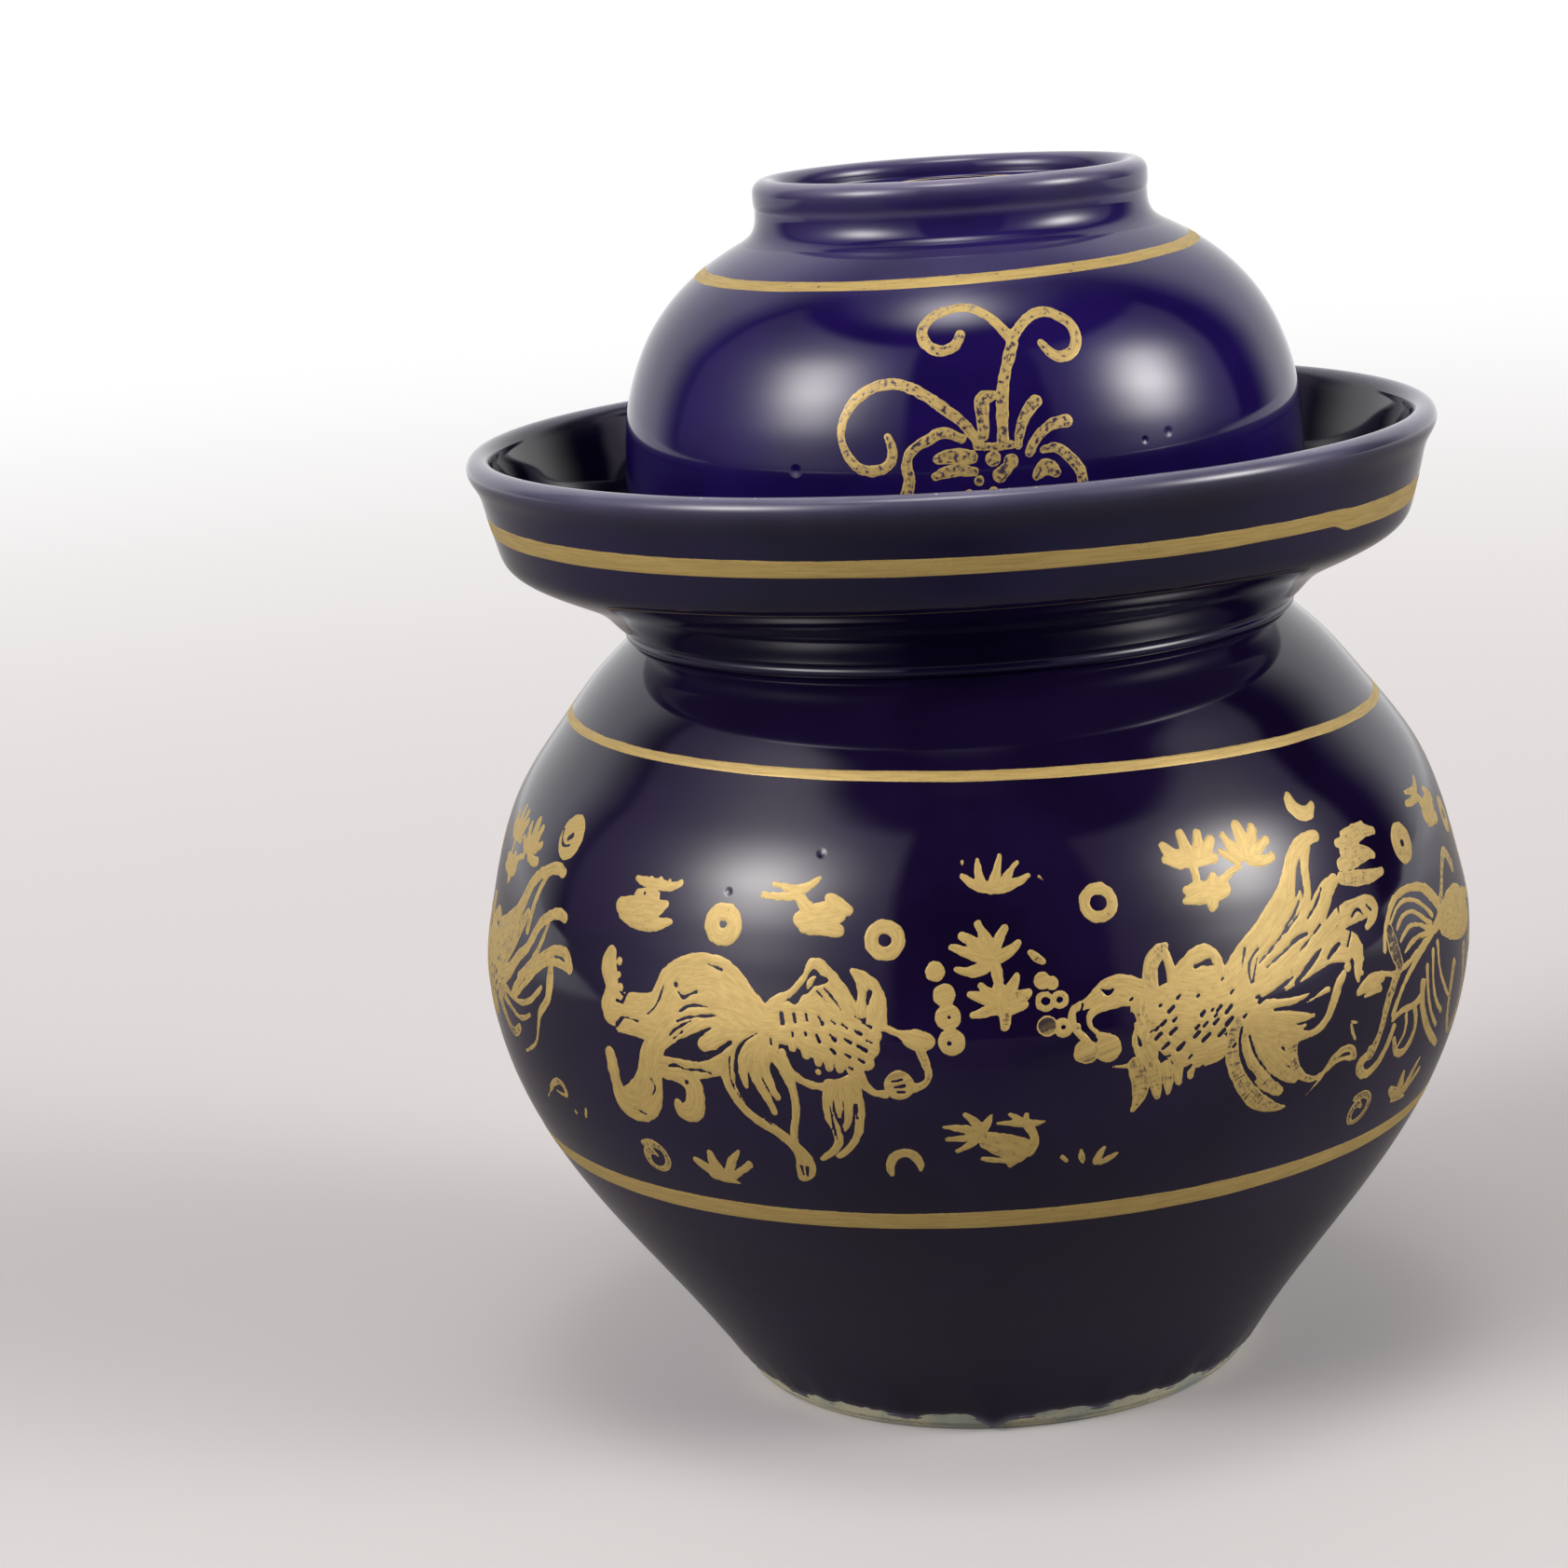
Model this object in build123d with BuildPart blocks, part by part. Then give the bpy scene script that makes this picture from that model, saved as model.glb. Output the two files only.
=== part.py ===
from build123d import *

import os
from math import hypot

# Water seal pickle jar, in millimetres. It stands on z = 0 with the jar's axis on +Z.
# Each piece is thrown on the wheel, so each one is a section turned about its own axis.
# The jar, its mouth collar and its trough are luted into one. The bowl lid stands loose
# in the trough, where water seals it, and the inner lid lies loose on the collar.

# Foot, belly and shoulder of the jar
belly_radius = 108.9
belly_height = 98.0
neck_inset = 1.5
neck_height = 172.0
foot_radius = 55.8
foot_rim_width = 9.0
foot_recess_depth = 2.5
foot_round = 1.5
body_wall = 6.5
base_thickness = 8.0
inside_corner_radius = 9.0
luting_bead_radius = 1.6

# Mouth collar, the upright tube that the water keeps shut
collar_water_gap = 13.0
collar_wall = 7.0
collar_height = 45.0
collar_flare = 1.6
collar_flare_height = 12.0
collar_rim_round = 2.0

# Water trough round the collar
trough_reach = 31.55
trough_height = 39.6
trough_wall = 4.8
trough_floor_thickness = 11.0
trough_lip_radius = 2.75

# Bowl lid, upside down, with its foot ring for a handle
lid_rim_radius = 75.0
lid_height = 70.4
lid_wall = 5.0
lid_rim_round = 1.2
lid_drift = 3.1
lid_crown_thickness = 7.0
ring_radius = 42.6
ring_width = 6.2
ring_height = 12.0
ring_lip_radius = 2.9
ring_crease_depth = 0.5
ring_neck_height = 2.6
ring_recess_depth = 5.0
ring_floor_crown = 1.8

# Inner lid with its spigot and knob
inner_lid_edge_margin = 4.0
inner_lid_thickness = 5.5
inner_lid_edge_thickness = 3.6
inner_lid_edge_round = 1.2
spigot_depth = 6.0
spigot_wall = 4.5
spigot_round = 1.2
knob_radius = 9.5
knob_neck_radius = 6.0
knob_height = 12.5
knob_head_height = 8.0

# Clearances between the loose pieces and the jar
lid_seat_gap = 0.3
inner_lid_seat_gap = 0.3
mouth_clearance = 4.0

# Circles that follow from the bowl's rim, so that it keeps its room in the trough
neck_radius = lid_rim_radius - neck_inset
trough_radius = neck_radius + trough_reach
collar_radius = lid_rim_radius - lid_wall - collar_water_gap
mouth_radius = collar_radius - collar_wall

# Places that follow from the sizes
widest_point = (belly_radius, belly_height)
neck_point = (neck_radius, neck_height)
foot_point = (foot_radius, 0)
base_top = foot_recess_depth + base_thickness
collar_top = neck_height + collar_height
trough_floor = neck_height + trough_floor_thickness
trough_rim = neck_height + trough_height
lid_rim = trough_floor + lid_seat_gap
ring_seat = lid_rim + lid_height
ring_top = ring_seat + ring_height
ring_inner_radius = ring_radius - ring_width
ring_floor = ring_top - ring_recess_depth
inner_lid_bottom = collar_top + inner_lid_seat_gap
inner_lid_top = inner_lid_bottom + inner_lid_thickness
inner_lid_radius = collar_radius + collar_flare - inner_lid_edge_margin
spigot_radius = mouth_radius - mouth_clearance

# Outlines as shares of the way between two named circles: (share in radius, share in height)
belly_lower_shares = [(0.26, 0.204), (0.614, 0.459), (0.887, 0.714)]
belly_upper_shares = [(0.05, 0.162), (0.116, 0.297), (0.271, 0.5), (0.568, 0.703), (0.81, 0.84)]
trough_under_shares = [(0.14, 0.10), (0.37, 0.20), (0.637, 0.303)]
trough_side_shares = [(0.79, 0.404), (0.834, 0.505), (0.897, 0.707), (0.94, 0.82)]
lid_side_shares = [(0.034, 0.237), (0.07, 0.478), (0.144, 0.606), (0.258, 0.719)]
lid_shoulder_shares = [(0.393, 0.804), (0.589, 0.889), (0.773, 0.946)]
foot_slope = (0.66, 1)
shoulder_slope = (-0.62, 1)
under_slope = (1, 0.35)
ring_crease_share = 0.42


def between(start, end, shares):
    """Points that lie at the given shares of the way from start to end."""
    (r0, z0), (r1, z1) = start, end
    return [(r0 + (r1 - r0) * r, z0 + (z1 - z0) * z) for r, z in shares]


def moved_in(points, wall):
    """The inner points of an outline that climbs: each one stands a wall off, square to its neighbours."""
    inner = []
    for index in range(1, len(points) - 1):
        (r0, z0), (r1, z1) = points[index - 1], points[index + 1]
        length = hypot(r1 - r0, z1 - z0)
        r, z = points[index]
        inner.append((r - wall * (z1 - z0) / length, z + wall * (r1 - r0) / length))
    return inner


# Foot, belly and shoulder: one hollow thrown form with a shallow recess under its foot
lower_points = between(foot_point, widest_point, belly_lower_shares)
upper_points = between(widest_point, neck_point, belly_upper_shares)
outer_points = [foot_point] + lower_points + [widest_point] + upper_points + [neck_point]
hollow_points = moved_in(outer_points, body_wall)
floor_edge = (foot_radius - inside_corner_radius, base_top)
mouth_corner = (mouth_radius, neck_height - body_wall)

with BuildPart() as jar_body:
    with BuildSketch(Plane.XZ):
        with BuildLine():
            Spline(foot_point, *lower_points, widest_point, tangents=(foot_slope, (0, 1)))
            Spline(widest_point, *upper_points, neck_point, tangents=((0, 1), shoulder_slope))
            Polyline(neck_point, (0, neck_height), (0, 0), foot_point)
        make_face()
    revolve(axis=Axis.Z)
    with BuildSketch(Plane.XZ):
        with BuildLine():
            Spline(floor_edge, *hollow_points, mouth_corner, tangents=((1, 0), (-1, 0)))
            Polyline(mouth_corner, (0, neck_height - body_wall), (0, base_top), floor_edge)
        make_face()
    revolve(axis=Axis.Z, mode=Mode.SUBTRACT)
    with Locations((0, 0, neck_height)):
        Hole(radius=mouth_radius, depth=body_wall * 2)
    Cylinder(foot_radius - foot_rim_width, foot_recess_depth,
             align=(Align.CENTER, Align.CENTER, Align.MIN), mode=Mode.SUBTRACT)
    foot_circles = jar_body.edges().filter_by(GeomType.CIRCLE).filter_by_position(Axis.Z, 0, 0)
    fillet(foot_circles, foot_round)
jar_body.part.label = "jar_body"

# Mouth collar: an upright tube on the shoulder whose rim flares and ends in a flat seat
flare_start = (collar_radius, collar_top - collar_flare_height)
flare_end = (collar_radius + collar_flare, collar_top - collar_rim_round * 2)
with BuildPart() as mouth_collar:
    with BuildSketch(Plane.XZ):
        with BuildLine():
            Polyline(flare_start, (collar_radius, neck_height), (mouth_radius, neck_height),
                     (mouth_radius, collar_top), (collar_radius + collar_flare, collar_top), flare_end)
            Spline(flare_start, flare_end, tangents=((0, 1), (0, 1)))
        make_face()
    revolve(axis=Axis.Z)
    fillet(mouth_collar.faces().sort_by(Axis.Z)[-1].edges(), collar_rim_round)
mouth_collar.part.label = "mouth_collar"

# Water trough: a dish with a hole for the collar, on a small bead where it is luted to the neck
lip_outer = (trough_radius, trough_rim - trough_lip_radius)
lip_top = (trough_radius - trough_lip_radius, trough_rim)
lip_inner = (trough_radius - trough_lip_radius * 2, trough_rim - trough_lip_radius)
trough_corner = (trough_radius, trough_rim)
under_points = between(neck_point, trough_corner, trough_under_shares)
side_points = between(neck_point, trough_corner, trough_side_shares)
bead_side = (neck_radius + luting_bead_radius, neck_height + luting_bead_radius)
bead_top = (neck_radius + luting_bead_radius, neck_height + luting_bead_radius * 2)
dish_points = [bead_top] + under_points + side_points + [lip_outer]
basin_points = moved_in(dish_points, trough_wall)[1:]
basin_foot = (neck_radius, bead_top[1] + trough_wall)

with BuildPart() as water_trough:
    with BuildSketch(Plane.XZ):
        with BuildLine():
            ThreePointArc(neck_point, bead_side, bead_top)
            Spline(*dish_points, tangents=(under_slope, (0, 1)))
            Polyline(lip_outer, (collar_radius, lip_outer[1]), (collar_radius, neck_height), neck_point)
        make_face()
        with Locations((0, trough_floor)):
            Rectangle(trough_radius, trough_height, align=(Align.MIN, Align.MIN), mode=Mode.SUBTRACT)
        with BuildLine():
            Spline(*dish_points, tangents=(under_slope, (0, 1)))
            ThreePointArc(lip_outer, lip_top, lip_inner)
            Spline(lip_inner, *reversed(basin_points), basin_foot)
            Line(basin_foot, bead_top)
        make_face()
    revolve(axis=Axis.Z)
water_trough.part.label = "water_trough"

# Bowl lid: an upturned bowl. Its shoulder sweeps up in a cove to the narrow neck under the
# foot ring, and its turned base is a shallow floor inside the ring.
lid_foot = (lid_rim_radius, lid_rim)
ring_meeting = (ring_radius, ring_seat)
ring_neck = (ring_radius - ring_crease_depth, ring_seat + ring_neck_height)
lid_points = between(lid_foot, ring_meeting, lid_side_shares + lid_shoulder_shares)
ceiling = ring_floor + ring_floor_crown - lid_crown_thickness
lid_inner_points = moved_in([lid_foot] + lid_points + [ring_meeting], lid_wall)
rim_outer = (lid_rim_radius, lid_rim + lid_rim_round)
rim_inner = (lid_rim_radius - lid_wall, lid_rim + lid_rim_round)
rim_flat_outer = (lid_rim_radius - lid_rim_round, lid_rim)
rim_flat_inner = (lid_rim_radius - lid_wall + lid_rim_round, lid_rim)
lid_plane = Plane((lid_drift, 0, 0), x_dir=(1, 0, 0), z_dir=(0, -1, 0))
lid_axis = Axis((lid_drift, 0, 0), (0, 0, 1))

with BuildPart() as bowl_lid:
    with BuildSketch(lid_plane):
        with BuildLine():
            Spline(rim_outer, *lid_points, ring_neck, tangents=((0, 1), (0, 1)))
            Polyline(ring_neck, (ring_inner_radius, ring_neck[1]), (ring_inner_radius, ring_floor))
            Spline((ring_inner_radius, ring_floor), (0, ring_floor + ring_floor_crown),
                   tangents=((-1, 0.1), (-1, 0)))
            Line((0, ring_floor + ring_floor_crown), (0, ceiling))
            Spline((0, ceiling), *reversed(lid_inner_points), rim_inner, tangents=((1, 0), (0, -1)))
            TangentArc(rim_flat_inner, rim_inner, tangent=(-1, 0))
            Line(rim_flat_inner, rim_flat_outer)
            TangentArc(rim_flat_outer, rim_outer, tangent=(1, 0))
        make_face()
    revolve(axis=lid_axis)
bowl_lid.part.label = "bowl_lid"

# Foot ring of the bowl lid: it stands on the cove's neck, with a faint crease under a round lip
crease_height = ring_seat + ring_height * ring_crease_share
crease_point = (ring_radius - ring_crease_depth, crease_height)
ring_lip_outer = (ring_radius, ring_top - ring_lip_radius)
ring_lip_top = (ring_radius - ring_lip_radius, ring_top)
ring_lip_inner = (ring_radius - ring_lip_radius * 2, ring_top - ring_lip_radius)
lower_swelling = (ring_radius - ring_crease_depth / 2, (ring_neck[1] + crease_height) / 2)
with BuildPart() as lid_foot_ring:
    with BuildSketch(lid_plane):
        with BuildLine():
            ThreePointArc(ring_neck, lower_swelling, crease_point)
            Spline(crease_point, ring_lip_outer, tangents=((0.5, 1), (0, 1)))
            ThreePointArc(ring_lip_outer, ring_lip_top, ring_lip_inner)
            Line(ring_lip_inner, (ring_inner_radius, ring_floor))
            Polyline((ring_inner_radius, ring_floor), (ring_inner_radius, ring_neck[1]), ring_neck)
        make_face()
    revolve(axis=lid_axis)
lid_foot_ring.part.label = "lid_foot_ring"

# Inner lid: a low disc with a spigot that drops into the mouth
disc_edge_top = inner_lid_bottom + inner_lid_edge_thickness
with BuildPart() as inner_lid:
    with BuildSketch(Plane.XZ):
        with BuildLine():
            Polyline((knob_radius, inner_lid_top), (0, inner_lid_top), (0, inner_lid_bottom),
                     (inner_lid_radius, inner_lid_bottom), (inner_lid_radius, disc_edge_top))
            Spline((inner_lid_radius, disc_edge_top), (knob_radius, inner_lid_top),
                   tangents=((-1, 0.12), (-1, 0)))
        make_face()
    revolve(axis=Axis.Z)
    with BuildSketch(Plane.XY.offset(inner_lid_bottom)):
        Circle(spigot_radius)
        Circle(spigot_radius - spigot_wall, mode=Mode.SUBTRACT)
    extrude(amount=-spigot_depth)
    fillet(inner_lid.faces().sort_by(Axis.Z)[0].edges(), spigot_round)
    edge_circles = inner_lid.edges().filter_by(GeomType.CIRCLE).sort_by(SortBy.RADIUS)[-2:]
    fillet(edge_circles, inner_lid_edge_round)
inner_lid.part.label = "inner_lid"

# Knob of the inner lid: a turned button on a waisted neck
knob_top = inner_lid_top + knob_height
head_bottom = knob_top - knob_head_height
with BuildPart() as inner_lid_knob:
    with BuildSketch(Plane.XZ):
        with BuildLine():
            Line((0, inner_lid_top), (knob_radius, inner_lid_top))
            Spline((knob_radius, inner_lid_top), (knob_neck_radius, (inner_lid_top + head_bottom) / 2),
                   (knob_radius, (head_bottom + knob_top) / 2), tangents=((-1, 0.6), (0, 1)))
            Spline((knob_radius, (head_bottom + knob_top) / 2), (0, knob_top), tangents=((0, 1), (-1, 0)))
            Line((0, knob_top), (0, inner_lid_top))
        make_face()
    revolve(axis=Axis.Z)
inner_lid_knob.part.label = "inner_lid_knob"

os.makedirs("parts", exist_ok=True)
pieces = [jar_body, mouth_collar, water_trough, bowl_lid, lid_foot_ring, inner_lid, inner_lid_knob]
for piece in pieces:
    export_step(piece.part, "parts/" + piece.part.label + ".step")
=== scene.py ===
"""Water seal pickle jar in cobalt glaze with gold brushwork.

The clay forms are turned surfaces and the gold is painted on them with brush strokes. Sizes are in
millimetres until a mesh is made, and then in metres.
"""
from math import cos, pi, radians, sin

import bpy
import numpy as np
from mathutils import Matrix, Vector


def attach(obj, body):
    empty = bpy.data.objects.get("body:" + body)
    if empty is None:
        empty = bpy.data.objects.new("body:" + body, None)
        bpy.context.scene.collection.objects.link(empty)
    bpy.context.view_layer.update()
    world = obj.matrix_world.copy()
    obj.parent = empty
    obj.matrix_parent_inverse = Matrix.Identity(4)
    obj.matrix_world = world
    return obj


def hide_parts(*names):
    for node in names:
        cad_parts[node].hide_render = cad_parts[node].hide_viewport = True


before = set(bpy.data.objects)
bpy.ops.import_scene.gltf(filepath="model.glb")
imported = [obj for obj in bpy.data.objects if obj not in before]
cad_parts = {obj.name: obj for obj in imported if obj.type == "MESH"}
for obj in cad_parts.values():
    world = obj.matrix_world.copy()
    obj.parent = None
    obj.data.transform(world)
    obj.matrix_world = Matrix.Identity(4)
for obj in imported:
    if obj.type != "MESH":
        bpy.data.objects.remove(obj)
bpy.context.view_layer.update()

MM = 0.001

# Sizes of the thrown forms
BELLY_RADIUS, BELLY_HEIGHT = 108.9, 98.0
NECK_RADIUS, NECK_HEIGHT = 73.5, 172.0
FOOT_RADIUS, FOOT_RIM, FOOT_RECESS = 55.8, 9.0, 2.5
BODY_WALL, BASE_TOP = 6.5, 10.5
MOUTH_RADIUS, COLLAR_RADIUS, COLLAR_TOP, COLLAR_FLARE = 50.0, 57.0, 217.0, 1.6
TROUGH_RADIUS, TROUGH_FLOOR, TROUGH_RIM, TROUGH_WALL, TROUGH_LIP = 105.05, 183.0, 211.6, 4.8, 2.75
LID_RADIUS, LID_RIM, LID_WALL, LID_AXIS = 75.0, 183.3, 5.0, 3.1
RING_SEAT, RING_TOP, RING_RADIUS, RING_INNER, RING_FLOOR, RING_ROLL = 253.7, 265.68, 42.6, 36.4, 260.7, 2.9
DISC_BOTTOM, DISC_TOP, DISC_RADIUS, SPIGOT_RADIUS = 217.3, 222.8, 54.6, 46.0
KNOB_RADIUS, KNOB_NECK, KNOB_TOP = 9.5, 6.0, 235.3

# The gold was laid out on the wall in millimetres: across at these radii, up from these heights
BELLY_SCALE, BELLY_START = 109.0, 40.0
LID_SCALE, LID_START = 75.0, 196.0
TROUGH_SCALE, TROUGH_START = 100.0, 176.0


def between(start, end, shares):
    """Points at the given shares of the way from start to end, radius and height apart."""
    start, end = np.array(start, float), np.array(end, float)
    return start + (end - start) * np.array(shares, float)


def moved_in(points, wall):
    """Inner points of an outline that climbs: each is moved a wall inwards, square to its neighbours."""
    points = np.array(points, float)
    along = points[2:] - points[:-2]
    along /= np.linalg.norm(along, axis=1)[:, None]
    return points[1:-1] + wall * np.column_stack([-along[:, 1], along[:, 0]])


def smooth_line(points, start=None, end=None, step=1.0):
    """A smooth line through the points, sampled at even steps.

    Between two points each coordinate is a cubic of the chord length, and slope and bend run on
    through every point. start and end give the line's directions at its ends.
    """
    p = np.array(points, float)
    n = len(p)
    gap = np.linalg.norm(np.diff(p, axis=0), axis=1)
    rise = np.diff(p, axis=0) / gap[:, None]
    a = np.zeros((n, n))
    b = np.zeros_like(p)
    inner = np.arange(1, n - 1)
    a[inner, inner - 1] = 1 / gap[:-1]
    a[inner, inner] = 2 / gap[:-1] + 2 / gap[1:]
    a[inner, inner + 1] = 1 / gap[1:]
    b[inner] = 3 * (rise[:-1] / gap[:-1, None] + rise[1:] / gap[1:, None])
    for row, near, piece, direction in ((0, 1, 0, start), (n - 1, n - 2, n - 2, end)):
        if direction is None:
            a[row, row], a[row, near] = 2, 1
            b[row] = 3 * rise[piece]
        else:
            a[row, row] = 1
            b[row] = np.array(direction, float) / np.linalg.norm(direction)
    slope = np.linalg.solve(a, b)
    knots = np.concatenate([[0], np.cumsum(gap)])
    t = np.linspace(0, knots[-1], max(int(knots[-1] / step) + 1, 3))
    k = np.clip(np.searchsorted(knots, t, side="right") - 1, 0, n - 2)
    h = gap[k][:, None]
    s = ((t - knots[k]) / gap[k])[:, None]
    return (p[k] * (2 * s ** 3 - 3 * s ** 2 + 1) + p[k + 1] * (3 * s ** 2 - 2 * s ** 3)
            + h * slope[k] * (s ** 3 - 2 * s ** 2 + s) + h * slope[k + 1] * (s ** 3 - s ** 2))


def rounded(middle, radius, first, last, count=9):
    """Part of a circle round its middle from the first to the last angle, in degrees from outwards."""
    turn = np.radians(np.linspace(first, last, count))
    return np.column_stack([middle[0] + radius * np.cos(turn), middle[1] + radius * np.sin(turn)])


def straight(start, end, count=6):
    """Points at even steps on a straight line."""
    return np.linspace(start, end, count)


def joined(*runs):
    """Runs of an outline, one after another, without the points that repeat at their joins."""
    line = np.vstack([np.array(run, float) for run in runs])
    keep = np.concatenate([[True], np.linalg.norm(np.diff(line, axis=0), axis=1) > 0.02])
    return line[keep]


def smoothstep(low, high, value):
    """0 below low, 1 above high, and an S-shaped rise between them."""
    s = np.clip((value - low) / (high - low), 0, 1)
    return s * s * (3 - 2 * s)


def mottle(x, y, size, seed, wrap=None):
    """Soft noise from -1 to 1: random values on a square lattice of that size, blended in S curves."""
    values = np.random.default_rng(seed).uniform(-1, 1, (256, 256))
    gx, gy = x / size, y / size
    ix, iy = np.floor(gx).astype(int), np.floor(gy).astype(int)
    fx, fy = smoothstep(0, 1, gx - ix), smoothstep(0, 1, gy - iy)
    period = 256 if wrap is None else int(round(wrap / size))
    x0, x1 = ix % period % 256, (ix + 1) % period % 256
    y0, y1 = iy % 256, (iy + 1) % 256
    low = values[x0, y0] * (1 - fx) + values[x1, y0] * fx
    high = values[x0, y1] * (1 - fx) + values[x1, y1] * fx
    return low * (1 - fy) + high * fy


# Outlines as (radius, height)
neck_point = (NECK_RADIUS, NECK_HEIGHT)
luted_joint = (NECK_RADIUS - 2, NECK_HEIGHT - 3.4)
foot_point = (FOOT_RADIUS, 0)
widest_point = (BELLY_RADIUS, BELLY_HEIGHT)
lower_points = between(foot_point, widest_point, [(0.26, 0.204), (0.614, 0.459), (0.887, 0.714)])
upper_points = between(widest_point, neck_point,
                       [(0.05, 0.162), (0.116, 0.297), (0.271, 0.5), (0.568, 0.703), (0.82, 0.85)])
body_points = np.vstack([foot_point, lower_points, widest_point, upper_points, luted_joint])
belly_line = joined(smooth_line(np.vstack([foot_point, lower_points, widest_point]), (0.66, 1), (0, 1)),
                    smooth_line(np.vstack([widest_point, upper_points, luted_joint]), (0, 1), (-1, 0.92)))
hollow_line = smooth_line(np.vstack([(46.8, BASE_TOP), moved_in(body_points, BODY_WALL), (50, 165.5)]),
                          (1, 0), (-1, 0))

bead_middle = (luted_joint[0] + 0.5, luted_joint[1] + 1.1)
bead_top = (bead_middle[0] + 1.0, bead_middle[1] + 1.3)
trough_corner = (TROUGH_RADIUS, TROUGH_RIM)
trough_points = between(neck_point, trough_corner,
                        [(0.127, 0.072), (0.37, 0.20), (0.637, 0.303), (0.79, 0.404), (0.834, 0.505),
                         (0.897, 0.707), (0.94, 0.82)])
lip_outer = (TROUGH_RADIUS, TROUGH_RIM - TROUGH_LIP)
lip_inner = (TROUGH_RADIUS - TROUGH_LIP * 2, TROUGH_RIM - TROUGH_LIP)
dish_points = np.vstack([bead_top, trough_points, lip_outer])
trough_line = smooth_line(dish_points, (1, 0.35), (0, 1), 0.6)
basin_points = moved_in(dish_points, TROUGH_WALL)[2:]
basin_line = smooth_line(np.vstack([lip_inner, basin_points[::-1], (NECK_RADIUS, 180)]), None, None, 0.8)

lid_foot = (LID_RADIUS, LID_RIM)
ring_meeting = (RING_RADIUS, RING_SEAT)
lid_points = between(lid_foot, ring_meeting, [(0.034, 0.237), (0.07, 0.478), (0.144, 0.606), (0.258, 0.719),
                                              (0.393, 0.804), (0.589, 0.889), (0.773, 0.946)])
lid_line = smooth_line(np.vstack([(LID_RADIUS, LID_RIM + 1.2), lid_points, ring_meeting]),
                       (0, 1), (-1, 0.45), 0.7)
lid_inner_points = moved_in(np.vstack([lid_foot, lid_points, ring_meeting]), LID_WALL)
lid_ceiling = smooth_line(np.vstack([(0, 255.5), lid_inner_points[::-1],
                                     (LID_RADIUS - LID_WALL, LID_RIM + 1.2)]), (1, 0), (0, -1), 1.5)

# Small unevenness that the hand leaves. It only goes inwards, so that no form outgrows its size.
THROWN_BY_HAND = 0.22
RIDGE = 0.009
TROUGH_DIP = 1.3


def thrown(radius, height, turn, seed):
    """A turned point with slow dents and faint finger ridges: the radius less THROWN_BY_HAND and RIDGE."""
    slow = (np.sin(2 * turn + seed) + np.sin(3 * turn + 2.1 * seed) + np.sin(height / 23 + turn + seed)) / 3
    ridges = np.sin(height * 2 * pi / 7.5 + turn + 1.5 * np.sin(height / 17 + seed))
    return radius - THROWN_BY_HAND * (0.5 + 0.5 * slow) - RIDGE * (1 + ridges)


def on_body(radius, height, turn):
    """The jar's wall: hand-thrown unevenness that fades out towards the foot."""
    fade = smoothstep(0, 20, height)
    return radius + (thrown(radius, height, turn, 0.7) - radius) * fade, height


def on_trough(radius, height, turn):
    """The trough's wall, whose rim dips a little at the front as in the photograph."""
    share = smoothstep(NECK_HEIGHT, TROUGH_RIM, height)
    return thrown(radius, height, turn, 2.3), height - TROUGH_DIP * share * (0.5 + 0.5 * np.cos(turn))


def on_lid(radius, height, turn):
    """The bowl's wall, a little uneven and turned about its own axis."""
    return radius + (thrown(radius, height, turn, 4.1) - radius) * smoothstep(2, 30, radius), height


def plain(radius, height, turn):
    """A form that is turned true."""
    return radius, height


def in_space(radius, height, turn, axis=0.0):
    """Radius, height and turn as a place. Turn is 0 at the front and grows towards +X."""
    return np.stack([axis + radius * np.sin(turn), -radius * np.cos(turn), height + 0 * turn], axis=-1)


def make_mesh(name, places, faces, material, values=None):
    """A smooth mesh from places in millimetres and rows of corner numbers; -1 marks a missing corner."""
    used = np.unique(faces[faces >= 0])
    number = np.full(len(places), -1)
    number[used] = np.arange(len(used))
    corners = np.where(faces >= 0, number[faces], -1)
    triangles = corners[corners[:, 3] < 0][:, :3]
    squares = corners[corners[:, 3] >= 0]
    mesh = bpy.data.meshes.new(name)
    mesh.from_pydata((places[used] * MM).tolist(), [], squares.tolist() + triangles.tolist())
    for label, data in (values or {}).items():
        kind = "FLOAT_VECTOR" if data.ndim == 2 else "FLOAT"
        layer = mesh.attributes.new(label, kind, "POINT")
        layer.data.foreach_set("vector" if data.ndim == 2 else "value", data[used].astype(np.float32).ravel())
    mesh.polygons.foreach_set("use_smooth", np.ones(len(mesh.polygons), bool))
    mesh.materials.append(material)
    mesh.validate()
    mesh.update()
    piece = bpy.data.objects.new(name, mesh)
    bpy.context.scene.collection.objects.link(piece)
    return piece


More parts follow.
